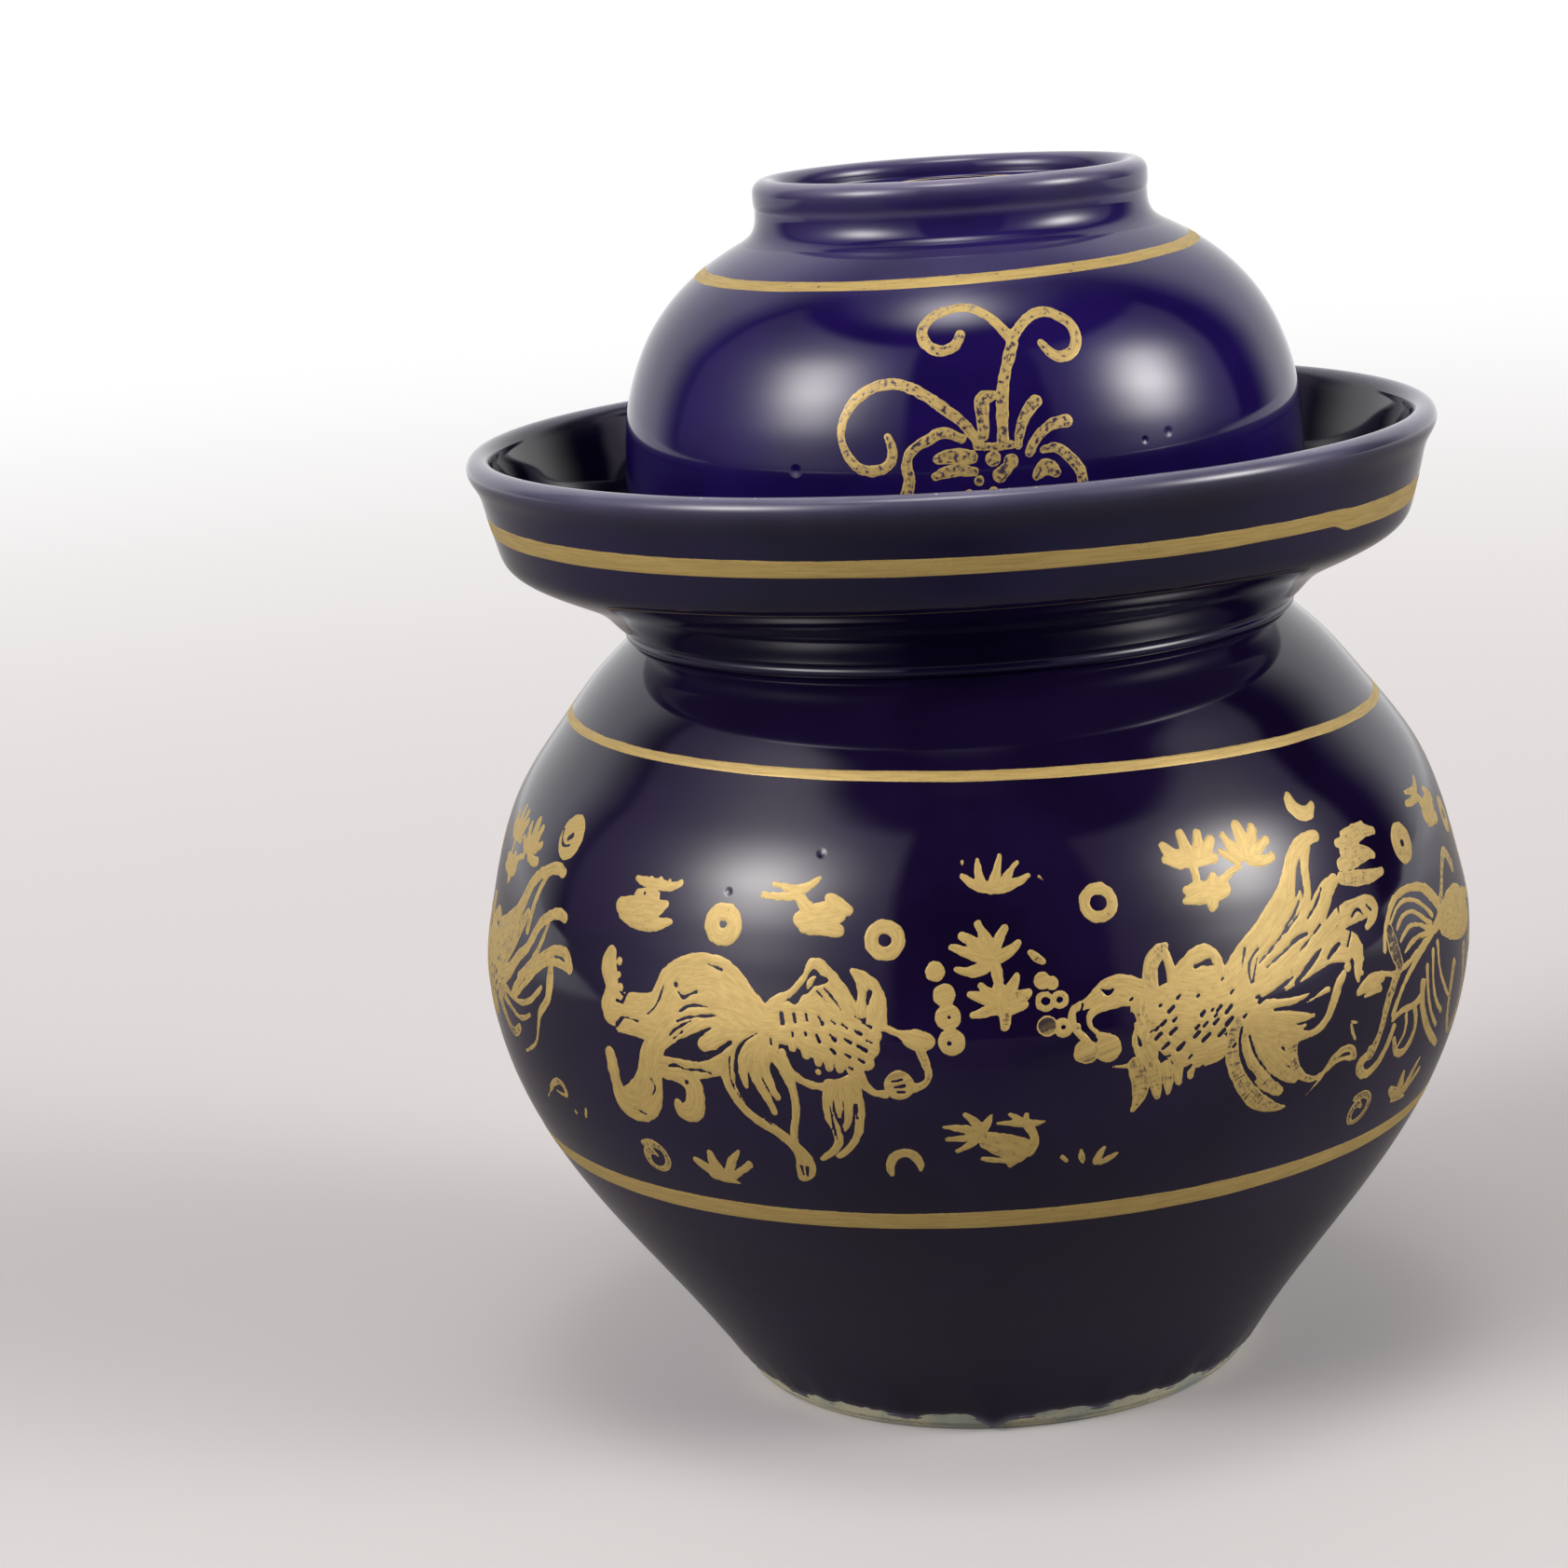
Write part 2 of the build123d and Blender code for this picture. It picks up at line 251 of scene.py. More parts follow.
def turned(name, outline, material, shape=plain, axis=0.0, ring=False, sides=288, thin=None, lower_edge=None):
    """A form turned on the wheel: the outline's radius and height carried round the axis.

    Rows follow the outline and columns go round. A ring's last row meets its first, and any other
    outline starts and ends on the axis, where its row shrinks to one corner. lower_edge gives the
    height, for each turn, of a ragged edge that the rows at the bottom follow.
    """
    turn = np.linspace(0, 2 * pi, sides, endpoint=False)[None, :]
    radius, height = outline[:, :1] + 0 * turn, outline[:, 1:2] + 0 * turn
    radius, height = shape(radius, height, turn)
    if lower_edge is not None:
        radius, height = lower_edge(radius, height, turn)
    places = in_space(radius, height, turn, axis).reshape(-1, 3)
    rows = len(outline)
    number = np.arange(rows * sides).reshape(rows, sides)
    for row in (0, rows - 1):
        if outline[row, 0] < 1e-6:
            number[row] = number[row, 0]
    following = np.vstack([number[1:], number[:1]]) if ring else number[1:]
    this = number if ring else number[:-1]
    faces = np.stack([this, np.roll(this, -1, 1), np.roll(following, -1, 1), following], -1).reshape(-1, 4)
    first_shrunk = faces[:, 0] == faces[:, 1]
    faces[first_shrunk] = faces[first_shrunk][:, [0, 2, 3, 3]]
    faces[first_shrunk, 3] = -1
    last_shrunk = (faces[:, 2] == faces[:, 3]) & ~first_shrunk
    faces[last_shrunk, 3] = -1
    corner = places[faces[:, :3]]
    volume = np.einsum("ij,ij->", corner[:, 0], np.cross(corner[:, 1], corner[:, 2]))
    if volume < 0:
        faces = np.where(faces[:, 3:] < 0, faces[:, [2, 1, 0, 3]], faces[:, [3, 2, 1, 0]])
    # The thin value pales the glaze: where it ran thin at crests, and as a painted highlight line where one
    # is given
    values = {"thin": np.repeat(np.zeros(rows) if thin is None else thin, sides)}
    return make_mesh(name, places, faces, material, values)


def near_crest(outline, crest, reach):
    """How thin the glaze has run at a crest, 0 to 1, falling off with the distance from it; it also lays a
    painted highlight line.
    """
    distance = np.linalg.norm(outline - np.array(crest), axis=1)
    return np.exp(-(distance / reach) ** 2)


class Wall:
    """A glazed wall that can be painted: its outline by arc length, its unevenness and its axis."""

    def __init__(self, line, start, scale, shape, axis, body):
        above = line[line[:, 1] >= start]
        first = np.array([[np.interp(start, line[:, 1], line[:, 0]), start]])
        self.line = np.vstack([first, above])
        self.length = np.concatenate([[0], np.cumsum(np.linalg.norm(np.diff(self.line, axis=0), axis=1))])
        self.scale, self.shape, self.axis, self.body = scale, shape, axis, body

    def place(self, across, up, proud):
        """A spot on the wall, stood proud of it along its normal."""
        turn = across / self.scale
        radius = np.interp(up, self.length, self.line[:, 0])
        height = np.interp(up, self.length, self.line[:, 1])
        run = np.interp(up + 0.5, self.length, self.line[:, 0]) - radius
        rise = np.interp(up + 0.5, self.length, self.line[:, 1]) - height
        slope = np.hypot(run, rise) + 1e-9
        run, rise = run / slope, rise / slope
        radius, height = self.shape(radius, height, turn)
        return in_space(radius + proud * rise, height - proud * run, turn, self.axis)


belly_wall = Wall(belly_line, BELLY_START, BELLY_SCALE, on_body, 0.0, "jar")
trough_wall = Wall(trough_line, TROUGH_START, TROUGH_SCALE, on_trough, 0.0, "jar")
lid_wall = Wall(lid_line, LID_START, LID_SCALE, on_lid, LID_AXIS, "bowl_lid")

# Small hollows where a bubble burst in the glaze, as places on the wall with their radius in metres
BELLY_DIMPLES = [(belly_wall.place(u, v, 0.0) * MM, size) for u, v, size in
                 [(-55, 97.3, 0.0012), (-33.8, 106, 0.0013), (36, 60, 0.0010), (140, 70, 0.0015),
                  (290, 95, 0.0014)]]
LID_DIMPLES = [(lid_wall.place(u, v, 0.0) * MM, size) for u, v, size in
               [(-36.5, 15, 0.0016), (39, 17, 0.0010), (45, 18, 0.0013), (130, 30, 0.0015),
                (250, 22, 0.0013)]]

# Materials
GLAZE_IOR, GLAZE_ROUGHNESS, DIMPLE_DEPTH = 1.43, (0.045, 0.085), 1.1
BARE_SPECK = (0.42, 0.42, 0.46)
BRIGHT_GOLD, WORN_GOLD, DARK_GRAIN = (0.44, 0.318, 0.102), (0.36, 0.252, 0.077), (0.28, 0.180, 0.055)
CREAM_CLAY, STAINED_CLAY, DARK_GRIT = (0.42, 0.40, 0.27), (0.25, 0.29, 0.25), (0.17, 0.14, 0.10)


def material(name):
    """A new material whose shader is ready to take its nodes."""
    made = bpy.data.materials.new(name)
    made.use_nodes = True
    shader = made.node_tree.nodes["Principled BSDF"]
    return made, made.node_tree, shader


def node(tree, kind, **settings):
    """A node with its settings; names that it has as sockets are set there."""
    made = tree.nodes.new(kind)
    for key, value in settings.items():
        if hasattr(made, key):
            setattr(made, key, value)
        else:
            made.inputs[key.replace("_", " ")].default_value = value
    return made


def attribute(tree, name, output="Fac"):
    """A value that the mesh carries."""
    return node(tree, "ShaderNodeAttribute", attribute_name=name).outputs[output]


def sums(tree, kind, first, second, clamp=False):
    """One step of arithmetic on values or sockets."""
    made = tree.nodes.new("ShaderNodeMath")
    made.operation = kind
    made.use_clamp = clamp
    for socket, value in zip(made.inputs, (first, second)):
        if isinstance(value, (int, float)):
            socket.default_value = value
        else:
            tree.links.new(value, socket)
    return made.outputs[0]


def blend(tree, share, first, second):
    """A colour that goes from the first to the second with the share."""
    made = tree.nodes.new("ShaderNodeMix")
    made.data_type = "RGBA"
    for socket, value in ((made.inputs[0], share), (made.inputs[6], first), (made.inputs[7], second)):
        if isinstance(value, (int, float)):
            socket.default_value = value
        elif isinstance(value, tuple):
            socket.default_value = (*value, 1)
        else:
            tree.links.new(value, socket)
    return made.outputs[2]


def ramp(tree, value, low, high):
    """0 below low and 1 above high, with an S-shaped rise."""
    made = tree.nodes.new("ShaderNodeMapRange")
    made.interpolation_type = "SMOOTHSTEP"
    tree.links.new(value, made.inputs["Value"])
    made.inputs["From Min"].default_value = low
    made.inputs["From Max"].default_value = high
    return made.outputs["Result"]


def noise(tree, place, scale, detail):
    """Cloudy noise round 0.5 at a scale per metre, or per millimetre on a carried value."""
    made = node(tree, "ShaderNodeTexNoise", Scale=scale, Detail=detail)
    tree.links.new(place, made.inputs["Vector"])
    return made.outputs["Fac"]


def stretched(tree, place, size):
    """A place with each direction scaled by itself."""
    made = node(tree, "ShaderNodeMapping", Scale=size)
    tree.links.new(place, made.inputs["Vector"])
    return made.outputs["Vector"]


def node_red(tree, colour):
    """The red share of a colour."""
    parts = tree.nodes.new("ShaderNodeSeparateColor")
    tree.links.new(colour, parts.inputs[0])
    return parts.outputs[0]


def cobalt_glaze(name, deep, pale, dimples=()):
    """Glossy cobalt glaze: deep where it is thick, pale where it ran thin and along painted highlight lines,
    with pinholes and dimples.
    """
    made, tree, shader = material(name)
    place = node(tree, "ShaderNodeTexCoord").outputs["Object"]
    cloud = noise(tree, place, 38, 4)
    speck = noise(tree, place, 900, 2)
    # thin also carries painted highlight lines as paleness
    thin = attribute(tree, "thin")
    worn = sums(tree, "MULTIPLY", thin, sums(tree, "ADD", sums(tree, "MULTIPLY", cloud, 1.3), 0.5))
    deeper = tuple(channel * 0.62 for channel in deep)
    body = blend(tree, ramp(tree, cloud, 0.3, 0.7), deeper, deep)
    body = blend(tree, worn, body, pale)
    bare = sums(tree, "MULTIPLY", ramp(tree, speck, 0.70, 0.74), ramp(tree, thin, 0.55, 0.95))
    body = blend(tree, bare, body, BARE_SPECK)
    tree.links.new(body, shader.inputs["Base Color"])
    shader.inputs["IOR"].default_value = GLAZE_IOR
    rough = tree.nodes.new("ShaderNodeMapRange")
    tree.links.new(noise(tree, place, 140, 3), rough.inputs["Value"])
    rough.inputs["To Min"].default_value, rough.inputs["To Max"].default_value = GLAZE_ROUGHNESS
    tree.links.new(rough.outputs["Result"], shader.inputs["Roughness"])
    pits = node(tree, "ShaderNodeTexVoronoi", Scale=46.0, Randomness=1.0)
    tree.links.new(place, pits.inputs["Vector"])
    chosen = sums(tree, "GREATER_THAN", node_red(tree, pits.outputs["Color"]), 0.93)
    hollow = sums(tree, "MULTIPLY", ramp(tree, pits.outputs["Distance"], 0.045, 0.0), chosen)
    height = sums(tree, "SUBTRACT", sums(tree, "MULTIPLY", noise(tree, place, 24, 2), 0.12), hollow)
    for spot, size in dimples:
        away = node(tree, "ShaderNodeVectorMath", operation="DISTANCE")
        tree.links.new(place, away.inputs[0])
        away.inputs[1].default_value = spot
        dent = ramp(tree, away.outputs["Value"], size, 0)
        height = sums(tree, "SUBTRACT", height, sums(tree, "MULTIPLY", dent, DIMPLE_DEPTH))
    relief = node(tree, "ShaderNodeBump", Strength=0.35, Distance=0.00035)
    tree.links.new(height, relief.inputs["Height"])
    tree.links.new(relief.outputs["Normal"], shader.inputs["Normal"])
    return made


def brushed_gold(name, under, bar_share, speck_share):
    """Matt gold paint: full at a stroke's edges, with bars across it and specks where the brush ran dry."""
    made, tree, shader = material(name)
    place = node(tree, "ShaderNodeTexCoord").outputs["Object"]
    streak = attribute(tree, "streak", "Vector")
    depth = attribute(tree, "depth")
    load = attribute(tree, "load")
    hairs = noise(tree, stretched(tree, streak, (2.6, 0.32, 1)), 1.0, 3)
    bars = noise(tree, stretched(tree, streak, (0.45, 2.0, 1)), 1.0, 2)
    grain = noise(tree, place, 1500, 3)
    specks = noise(tree, place, 1050, 2)
    dry = sums(tree, "MULTIPLY", sums(tree, "SUBTRACT", 1.0, load), ramp(tree, depth, 0.12, 0.6))
    uneven = sums(tree, "ADD", sums(tree, "MULTIPLY", hairs, 0.45), sums(tree, "MULTIPLY", bars, bar_share))
    uneven = sums(tree, "ADD", uneven, sums(tree, "MULTIPLY", specks, speck_share))
    level = sums(tree, "ADD", sums(tree, "MULTIPLY", dry, 0.68), (1.2 - bar_share - speck_share) / 2)
    missing = ramp(tree, sums(tree, "ADD", uneven, level), 1.03, 1.46)
    cover = sums(tree, "SUBTRACT", 1.0, sums(tree, "MULTIPLY", missing, 0.94), True)
    gold = blend(tree, ramp(tree, hairs, 0.36, 0.66), BRIGHT_GOLD, WORN_GOLD)
    gold = blend(tree, ramp(tree, grain, 0.64, 0.74), gold, DARK_GRAIN)
    tree.links.new(blend(tree, cover, under, gold), shader.inputs["Base Color"])
    tree.links.new(sums(tree, "MULTIPLY", cover, 0.35), shader.inputs["Metallic"])
    tree.links.new(sums(tree, "ADD", sums(tree, "MULTIPLY", cover, 0.38), 0.12), shader.inputs["Roughness"])
    relief = node(tree, "ShaderNodeBump", Strength=0.3, Distance=0.00006)
    tree.links.new(sums(tree, "ADD", cover, hairs), relief.inputs["Height"])
    tree.links.new(relief.outputs["Normal"], shader.inputs["Normal"])
    return made


def fired_clay(name):
    """Bare stoneware: greenish cream with grey-blue stains from the glaze, and a fine tooth."""
    made, tree, shader = material(name)
    place = node(tree, "ShaderNodeTexCoord").outputs["Object"]
    stain = noise(tree, place, 95, 4)
    grit = noise(tree, place, 1300, 3)
    colour = blend(tree, ramp(tree, stain, 0.38, 0.66), CREAM_CLAY, STAINED_CLAY)
    colour = blend(tree, ramp(tree, grit, 0.62, 0.70), colour, DARK_GRIT)
    tree.links.new(colour, shader.inputs["Base Color"])
    shader.inputs["Roughness"].default_value = 0.62
    relief = node(tree, "ShaderNodeBump", Strength=0.5, Distance=0.0002)
    tree.links.new(grit, relief.inputs["Height"])
    tree.links.new(relief.outputs["Normal"], shader.inputs["Normal"])
    return made


body_glaze = cobalt_glaze("cobalt_glaze_on_the_jar", (0.0070, 0.0032, 0.0215), (0.10, 0.095, 0.13),
                          BELLY_DIMPLES)
trough_glaze = cobalt_glaze("cobalt_glaze_on_the_trough", (0.0080, 0.0055, 0.0290), (0.12, 0.115, 0.17))
lid_glaze = cobalt_glaze("violet_cobalt_glaze_on_the_lid", (0.0100, 0.0042, 0.0600), (0.18, 0.165, 0.23),
                         LID_DIMPLES)
inner_lid_glaze = cobalt_glaze("cobalt_glaze_on_the_inner_lid", (0.008, 0.006, 0.036), (0.07, 0.075, 0.15))
gold_on_jar = brushed_gold("gold_brushed_on_the_jar", (0.012, 0.008, 0.022), 0.95, 0.25)
gold_on_lid = brushed_gold("gold_brushed_on_the_lid", (0.016, 0.010, 0.050), 0.15, 1.75)
clay = fired_clay("bare_fired_clay")
GOLD_ON = {"jar": gold_on_jar, "bowl_lid": gold_on_lid}

# Level of the glaze's lower edge, and the height up to which rows slide to follow it
GLAZE_EDGE, EDGE_REACH = 3.3, 14.0


def glaze_edge(turn):
    """Height of the ragged lower edge of the glaze: noise round its level, with one run near the floor."""
    girth = 2 * pi * FOOT_RADIUS
    ragged = mottle(turn * FOOT_RADIUS, 0 * turn, 4.0, 5, girth)
    fine = mottle(turn * FOOT_RADIUS, 0 * turn, 1.1, 6, girth)
    front = (turn + pi) % (2 * pi) - pi
    run = 2.1 * np.exp(-((front + 0.03) / 0.055) ** 2)
    return GLAZE_EDGE + 0.42 * ragged + 0.22 * fine - run


def follow_glaze_edge(radius, height, turn):
    """Low rows slide, so that the row at the edge's level lies on the ragged edge; higher rows stay."""
    share = np.clip((EDGE_REACH - height) / (EDGE_REACH - GLAZE_EDGE), 0, 1)
    slide = (glaze_edge(turn) - GLAZE_EDGE) * share
    return radius, height + slide * (radius > FOOT_RADIUS - 6)


def wall_radius(height):
    """Outer radius of the jar's wall at a height."""
    return np.interp(height, belly_line[:, 1], belly_line[:, 0])


# The foot of bare clay, and the glazed jar that stands on it
foot_wall = belly_line[(belly_line[:, 1] > 1.6) & (belly_line[:, 1] < 9)] - (0.35, 0)
clay_outline = joined([(0, FOOT_RECESS)], straight((6, FOOT_RECESS), (44.5, FOOT_RECESS)),
                      rounded((FOOT_RADIUS - FOOT_RIM + 1.2, 1.2), 1.2, 180, 270, 6),
                      straight((49.5, 0), (53, 0)), rounded((FOOT_RADIUS - 1.75, 1.4), 1.4, -90, -8, 7),
                      foot_wall, straight((wall_radius(9) - 1.5, 9), (0, 9)))
foot_clay = turned("jar_foot_clay", clay_outline, clay, plain, sides=360)
glaze_lip = rounded((wall_radius(GLAZE_EDGE) - 0.75, GLAZE_EDGE + 0.65), 0.65, -90, 0, 6)
glazed_wall = belly_line[belly_line[:, 1] > 4.3]
# The hollow needs only every second point of its line
body_outline = joined([(0, 4.5)], straight((20, 4.5), (50, 4.0)), glaze_lip, glazed_wall,
                      straight(luted_joint, (MOUTH_RADIUS + 0.5, luted_joint[1]), 12),
                      straight((MOUTH_RADIUS, luted_joint[1] - 0.5), (MOUTH_RADIUS, 166), 4),
                      hollow_line[::-2], straight((44, BASE_TOP), (0, BASE_TOP), 10))
jar_body = turned("jar_body_glazed", body_outline, body_glaze, on_body, sides=288,
                  lower_edge=follow_glaze_edge,
                  thin=0.75 * near_crest(body_outline, (wall_radius(3.6), 3.6), 1.3))

# Mouth collar
collar_seat = COLLAR_RADIUS + COLLAR_FLARE
collar_outline = joined(straight((MOUTH_RADIUS, luted_joint[1] - 0.4), (MOUTH_RADIUS, COLLAR_TOP - 2), 24),
                        rounded((MOUTH_RADIUS + 2, COLLAR_TOP - 2), 2, 180, 90),
                        rounded((collar_seat - 2, COLLAR_TOP - 2), 2, 90, 0),
                        smooth_line([(collar_seat, COLLAR_TOP - 4), (COLLAR_RADIUS, COLLAR_TOP - 12)],
                                    (0, -1), (0, -1)),
                        straight((COLLAR_RADIUS, COLLAR_TOP - 13), (COLLAR_RADIUS, TROUGH_FLOOR + 3), 16),
                        rounded((COLLAR_RADIUS + 3, TROUGH_FLOOR + 3), 3, 180, 265, 6),
                        straight((COLLAR_RADIUS + 2.8, TROUGH_FLOOR - 1),
                                 (COLLAR_RADIUS, luted_joint[1] - 0.4), 5))
collar_thin = np.maximum(near_crest(collar_outline, (MOUTH_RADIUS + 1, COLLAR_TOP), 2.4),
                         near_crest(collar_outline, (collar_seat - 1, COLLAR_TOP), 2.4))
mouth_collar = turned("mouth_collar_glazed", collar_outline, trough_glaze, plain, ring=True, thin=collar_thin)

# Water trough with its rounded lip and the bead that lutes it to the neck
basin_wall = basin_line[basin_line[:, 1] > TROUGH_FLOOR + 2.5]
basin_bend = smooth_line([basin_wall[-1], (basin_wall[-1][0] - 2.6, TROUGH_FLOOR + 0.5),
                          (basin_wall[-1][0] - 6.5, TROUGH_FLOOR)], basin_wall[-1] - basin_wall[-2],
                         (-1, 0), 0.5)
under_bead = (bead_middle[0] - 1.2, bead_middle[1] - 1.0)
trough_outline = joined(straight((COLLAR_RADIUS - 1, TROUGH_FLOOR - 8), under_bead, 5),
                        rounded(bead_middle, 1.3, -100, 40, 11),
                        trough_line[1:],
                        rounded((TROUGH_RADIUS - TROUGH_LIP, lip_outer[1]), TROUGH_LIP, 0, 180, 17),
                        basin_wall, basin_bend,
                        straight(basin_bend[-1], (COLLAR_RADIUS - 1, TROUGH_FLOOR), 14))
trough_thin = 0.85 * near_crest(trough_outline, (TROUGH_RADIUS - TROUGH_LIP, TROUGH_RIM), 3.4)
water_trough = turned("water_trough_glazed", trough_outline, trough_glaze, on_trough, ring=True, sides=432,
                      thin=trough_thin)

# Bowl lid and its foot ring
recess_floor = smooth_line([(RING_INNER + 2, RING_FLOOR), (0, RING_FLOOR + 1.8)], (-1, 0.1), (-1, 0), 1.5)
recess_floor[-1, 0] = 0
lid_ceiling[0, 0] = 0
lid_outline = joined(lid_ceiling, rounded((LID_RADIUS - LID_WALL + 1.2, LID_RIM + 1.2), 1.2, 180, 270, 6),
                     rounded((LID_RADIUS - 1.2, LID_RIM + 1.2), 1.2, 270, 360, 6), lid_line,
                     straight(ring_meeting, (RING_INNER + 3, RING_SEAT), 4),
                     straight((RING_INNER + 3, RING_SEAT), (RING_INNER + 2, RING_FLOOR), 5), recess_floor)
# Paler glaze where it ran thin at the rim's crest, and a little paler towards the top, round the foot ring
lid_thin = np.maximum(0.8 * near_crest(lid_outline, (LID_RADIUS - 2, LID_RIM), 3.0),
                      0.09 * smoothstep(240, 252, lid_outline[:, 1]))
bowl_lid = turned("bowl_lid_glazed", lid_outline, lid_glaze, on_lid, LID_AXIS, sides=408, thin=lid_thin)

cove_start = 49.6
cove_base = np.interp(-cove_start, -lid_line[:, 0], lid_line[:, 1])
crease = (RING_RADIUS - 0.3, RING_TOP - 6.4)
ring_lip = (RING_RADIUS - RING_ROLL, RING_TOP - RING_ROLL)
ring_outline = joined(smooth_line([(cove_start, cove_base - 0.12), (cove_start - 3.6, cove_base + 1.95),
                                   (RING_RADIUS + 0.9, RING_TOP - 11.7),
                                   (RING_RADIUS - 0.12, RING_TOP - 9.2), crease],
                                  (-1, 0.47), (-0.06, 1), 0.35),
                      smooth_line([crease, (RING_RADIUS - 0.07, RING_TOP - 5.2),
                                   (RING_RADIUS, RING_TOP - RING_ROLL)],
                                  (0.3, 1), (0, 1), 0.35),
                      rounded(ring_lip, RING_ROLL, 0, 180, 19),
                      straight((RING_RADIUS - 2 * RING_ROLL, RING_TOP - RING_ROLL),
                               (RING_INNER + 0.5, RING_FLOOR + 1.1), 4),
                      smooth_line([(RING_INNER + 0.5, RING_FLOOR + 1.1),
                                   (RING_INNER - 0.9, RING_FLOOR + 0.1)],
                                  (-0.2, -1), (-1, -0.1), 0.3),
                      straight((RING_INNER - 0.6, RING_FLOOR - 1), (RING_INNER, RING_SEAT - 3.5), 4),
                      straight((RING_INNER + 4, RING_SEAT - 3.5), (cove_start - 2, cove_base - 1.2), 4))
# Paler glaze where it ran thin over the lip, and a faint painted highlight line along the crease
ring_thin = np.maximum(0.8 * near_crest(ring_outline, (RING_RADIUS - 2.3, RING_TOP), 2.6),
                       0.02 + 0.16 * near_crest(ring_outline, crease, 0.7))
foot_ring = turned("lid_foot_ring_glazed", ring_outline, lid_glaze, on_lid, LID_AXIS, ring=True, sides=360,
                   thin=ring_thin)

# Inner lid and its knob
disc_top = smooth_line([(DISC_RADIUS - 1.2, DISC_BOTTOM + 3.75), (KNOB_RADIUS, DISC_TOP)],
                       (-1, 0.12), (-1, 0), 1.5)
inner_outline = joined([(0, DISC_BOTTOM)], straight((8, DISC_BOTTOM), (SPIGOT_RADIUS - 5.5, DISC_BOTTOM), 7),
                       straight((SPIGOT_RADIUS - 4.5, DISC_BOTTOM - 1),
                                (SPIGOT_RADIUS - 4.5, DISC_BOTTOM - 4.8), 4),
                       rounded((SPIGOT_RADIUS - 3.3, DISC_BOTTOM - 4.8), 1.2, 180, 270, 5),
                       rounded((SPIGOT_RADIUS - 1.2, DISC_BOTTOM - 4.8), 1.2, 270, 360, 5),
                       straight((SPIGOT_RADIUS, DISC_BOTTOM - 4), (SPIGOT_RADIUS, DISC_BOTTOM - 0.6), 4),
                       straight((SPIGOT_RADIUS + 0.6, DISC_BOTTOM), (DISC_RADIUS - 1.4, DISC_BOTTOM), 5),
                       rounded((DISC_RADIUS - 1.4, DISC_BOTTOM + 1.4), 1.4, -90, 0, 6),
                       rounded((DISC_RADIUS - 1.4, DISC_BOTTOM + 2.35), 1.4, 0, 82, 6), disc_top,
                       [(0, DISC_TOP)])
inner_lid = turned("inner_lid_glazed", inner_outline, inner_lid_glaze, plain, sides=240,
                   thin=0.8 * near_crest(inner_outline, (DISC_RADIUS - 0.5, DISC_BOTTOM + 3), 2.2))
knob_outline = joined([(0, DISC_TOP - 1)], [(KNOB_RADIUS + 1.5, DISC_TOP - 0.6)],
                      smooth_line([(KNOB_RADIUS, DISC_TOP), (KNOB_NECK, (DISC_TOP + KNOB_TOP - 8) / 2),
                                   (KNOB_RADIUS, KNOB_TOP - 4)], (-1, 0.6), (0, 1), 0.4),
                      smooth_line([(KNOB_RADIUS, KNOB_TOP - 4), (0, KNOB_TOP)], (0, 1), (-1, 0), 0.5))
knob_outline[-1, 0] = 0
knob = turned("inner_lid_knob_glazed", knob_outline, inner_lid_glaze, plain, sides=120,
              thin=0.6 * near_crest(knob_outline, (KNOB_RADIUS - 2, KNOB_TOP - 1), 3))


# Gold brushwork. A stroke is a line of (across, up, half width) with how full the brush was.
STROKE_STEP, GAP_STEP = 0.4, 0.3
BAND_COLUMNS, BAND_ROWS = 900, 15


def paint_height(depth):
    """Thickness of the paint: it starts just under the glaze at its edge and reaches 0.05 mm inside."""
    return -0.02 + 0.07 * smoothstep(0, 0.45, depth)


def gilded(name, places, faces, depth, load, streak, body):
    """A mesh of gold paint for a body, with the depth, load and streak that its material reads."""
    values = {"depth": depth.ravel(), "load": load.ravel(), "streak": streak.reshape(-1, 3)}
    return make_mesh(name, places.reshape(-1, 3), faces, GOLD_ON[body], values)


def band(name, wall, middle, half_width, seed):
    """A gold line round the wall: a strip across its width, carried round, with a wavering edge."""
    turn = np.linspace(0, 2 * pi, BAND_COLUMNS, endpoint=False)[None, :]
    across = turn * wall.scale
    share = np.linspace(-1, 1, BAND_ROWS)[:, None]
    girth = 2 * pi * wall.scale
    slow = 0.10 * mottle(across, 0 * across, 9.0, seed, girth)
    fine = 0.05 * mottle(across, 0 * across, 1.6, seed + 1, girth)
    slow_below = 0.10 * mottle(across, 0 * across, 11.0, seed + 2, girth)
    half = half_width(turn)
    up = middle(turn) + share * half + np.where(share > 0, (slow + fine) * share, slow_below * share)
    depth = (1 - np.abs(share)) * half
    places = wall.place(across + 0 * up, up, paint_height(depth))
    number = np.arange(up.size).reshape(up.shape)
    faces = np.stack([number[:-1], np.roll(number[:-1], -1, 1), np.roll(number[1:], -1, 1), number[1:]],
                     -1).reshape(-1, 4)
    streak = np.stack([share * half, across * 0.35 + 0 * up, np.full(up.shape, seed * 3.7)], -1)
    piece = gilded(name, places, faces, depth, np.full(up.shape, 0.97), streak, wall.body)
    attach(piece, wall.body)


def stroke_line(points, step):
    """A stroke's discs: a smooth line through its points, or its one dab."""
    if len(points) == 1:
        return np.array(points, float)
    return smooth_line(points, step=step)


def near_line(us, vs, line):
    """Rows and columns of the grid that a stroke can reach."""
    reach = line[:, 2].max() + 1.5
    columns = slice(*np.searchsorted(us, (line[:, 0].min() - reach, line[:, 0].max() + reach)))
    rows = slice(*np.searchsorted(vs, (line[:, 1].min() - reach, line[:, 1].max() + reach)))
    return rows, columns


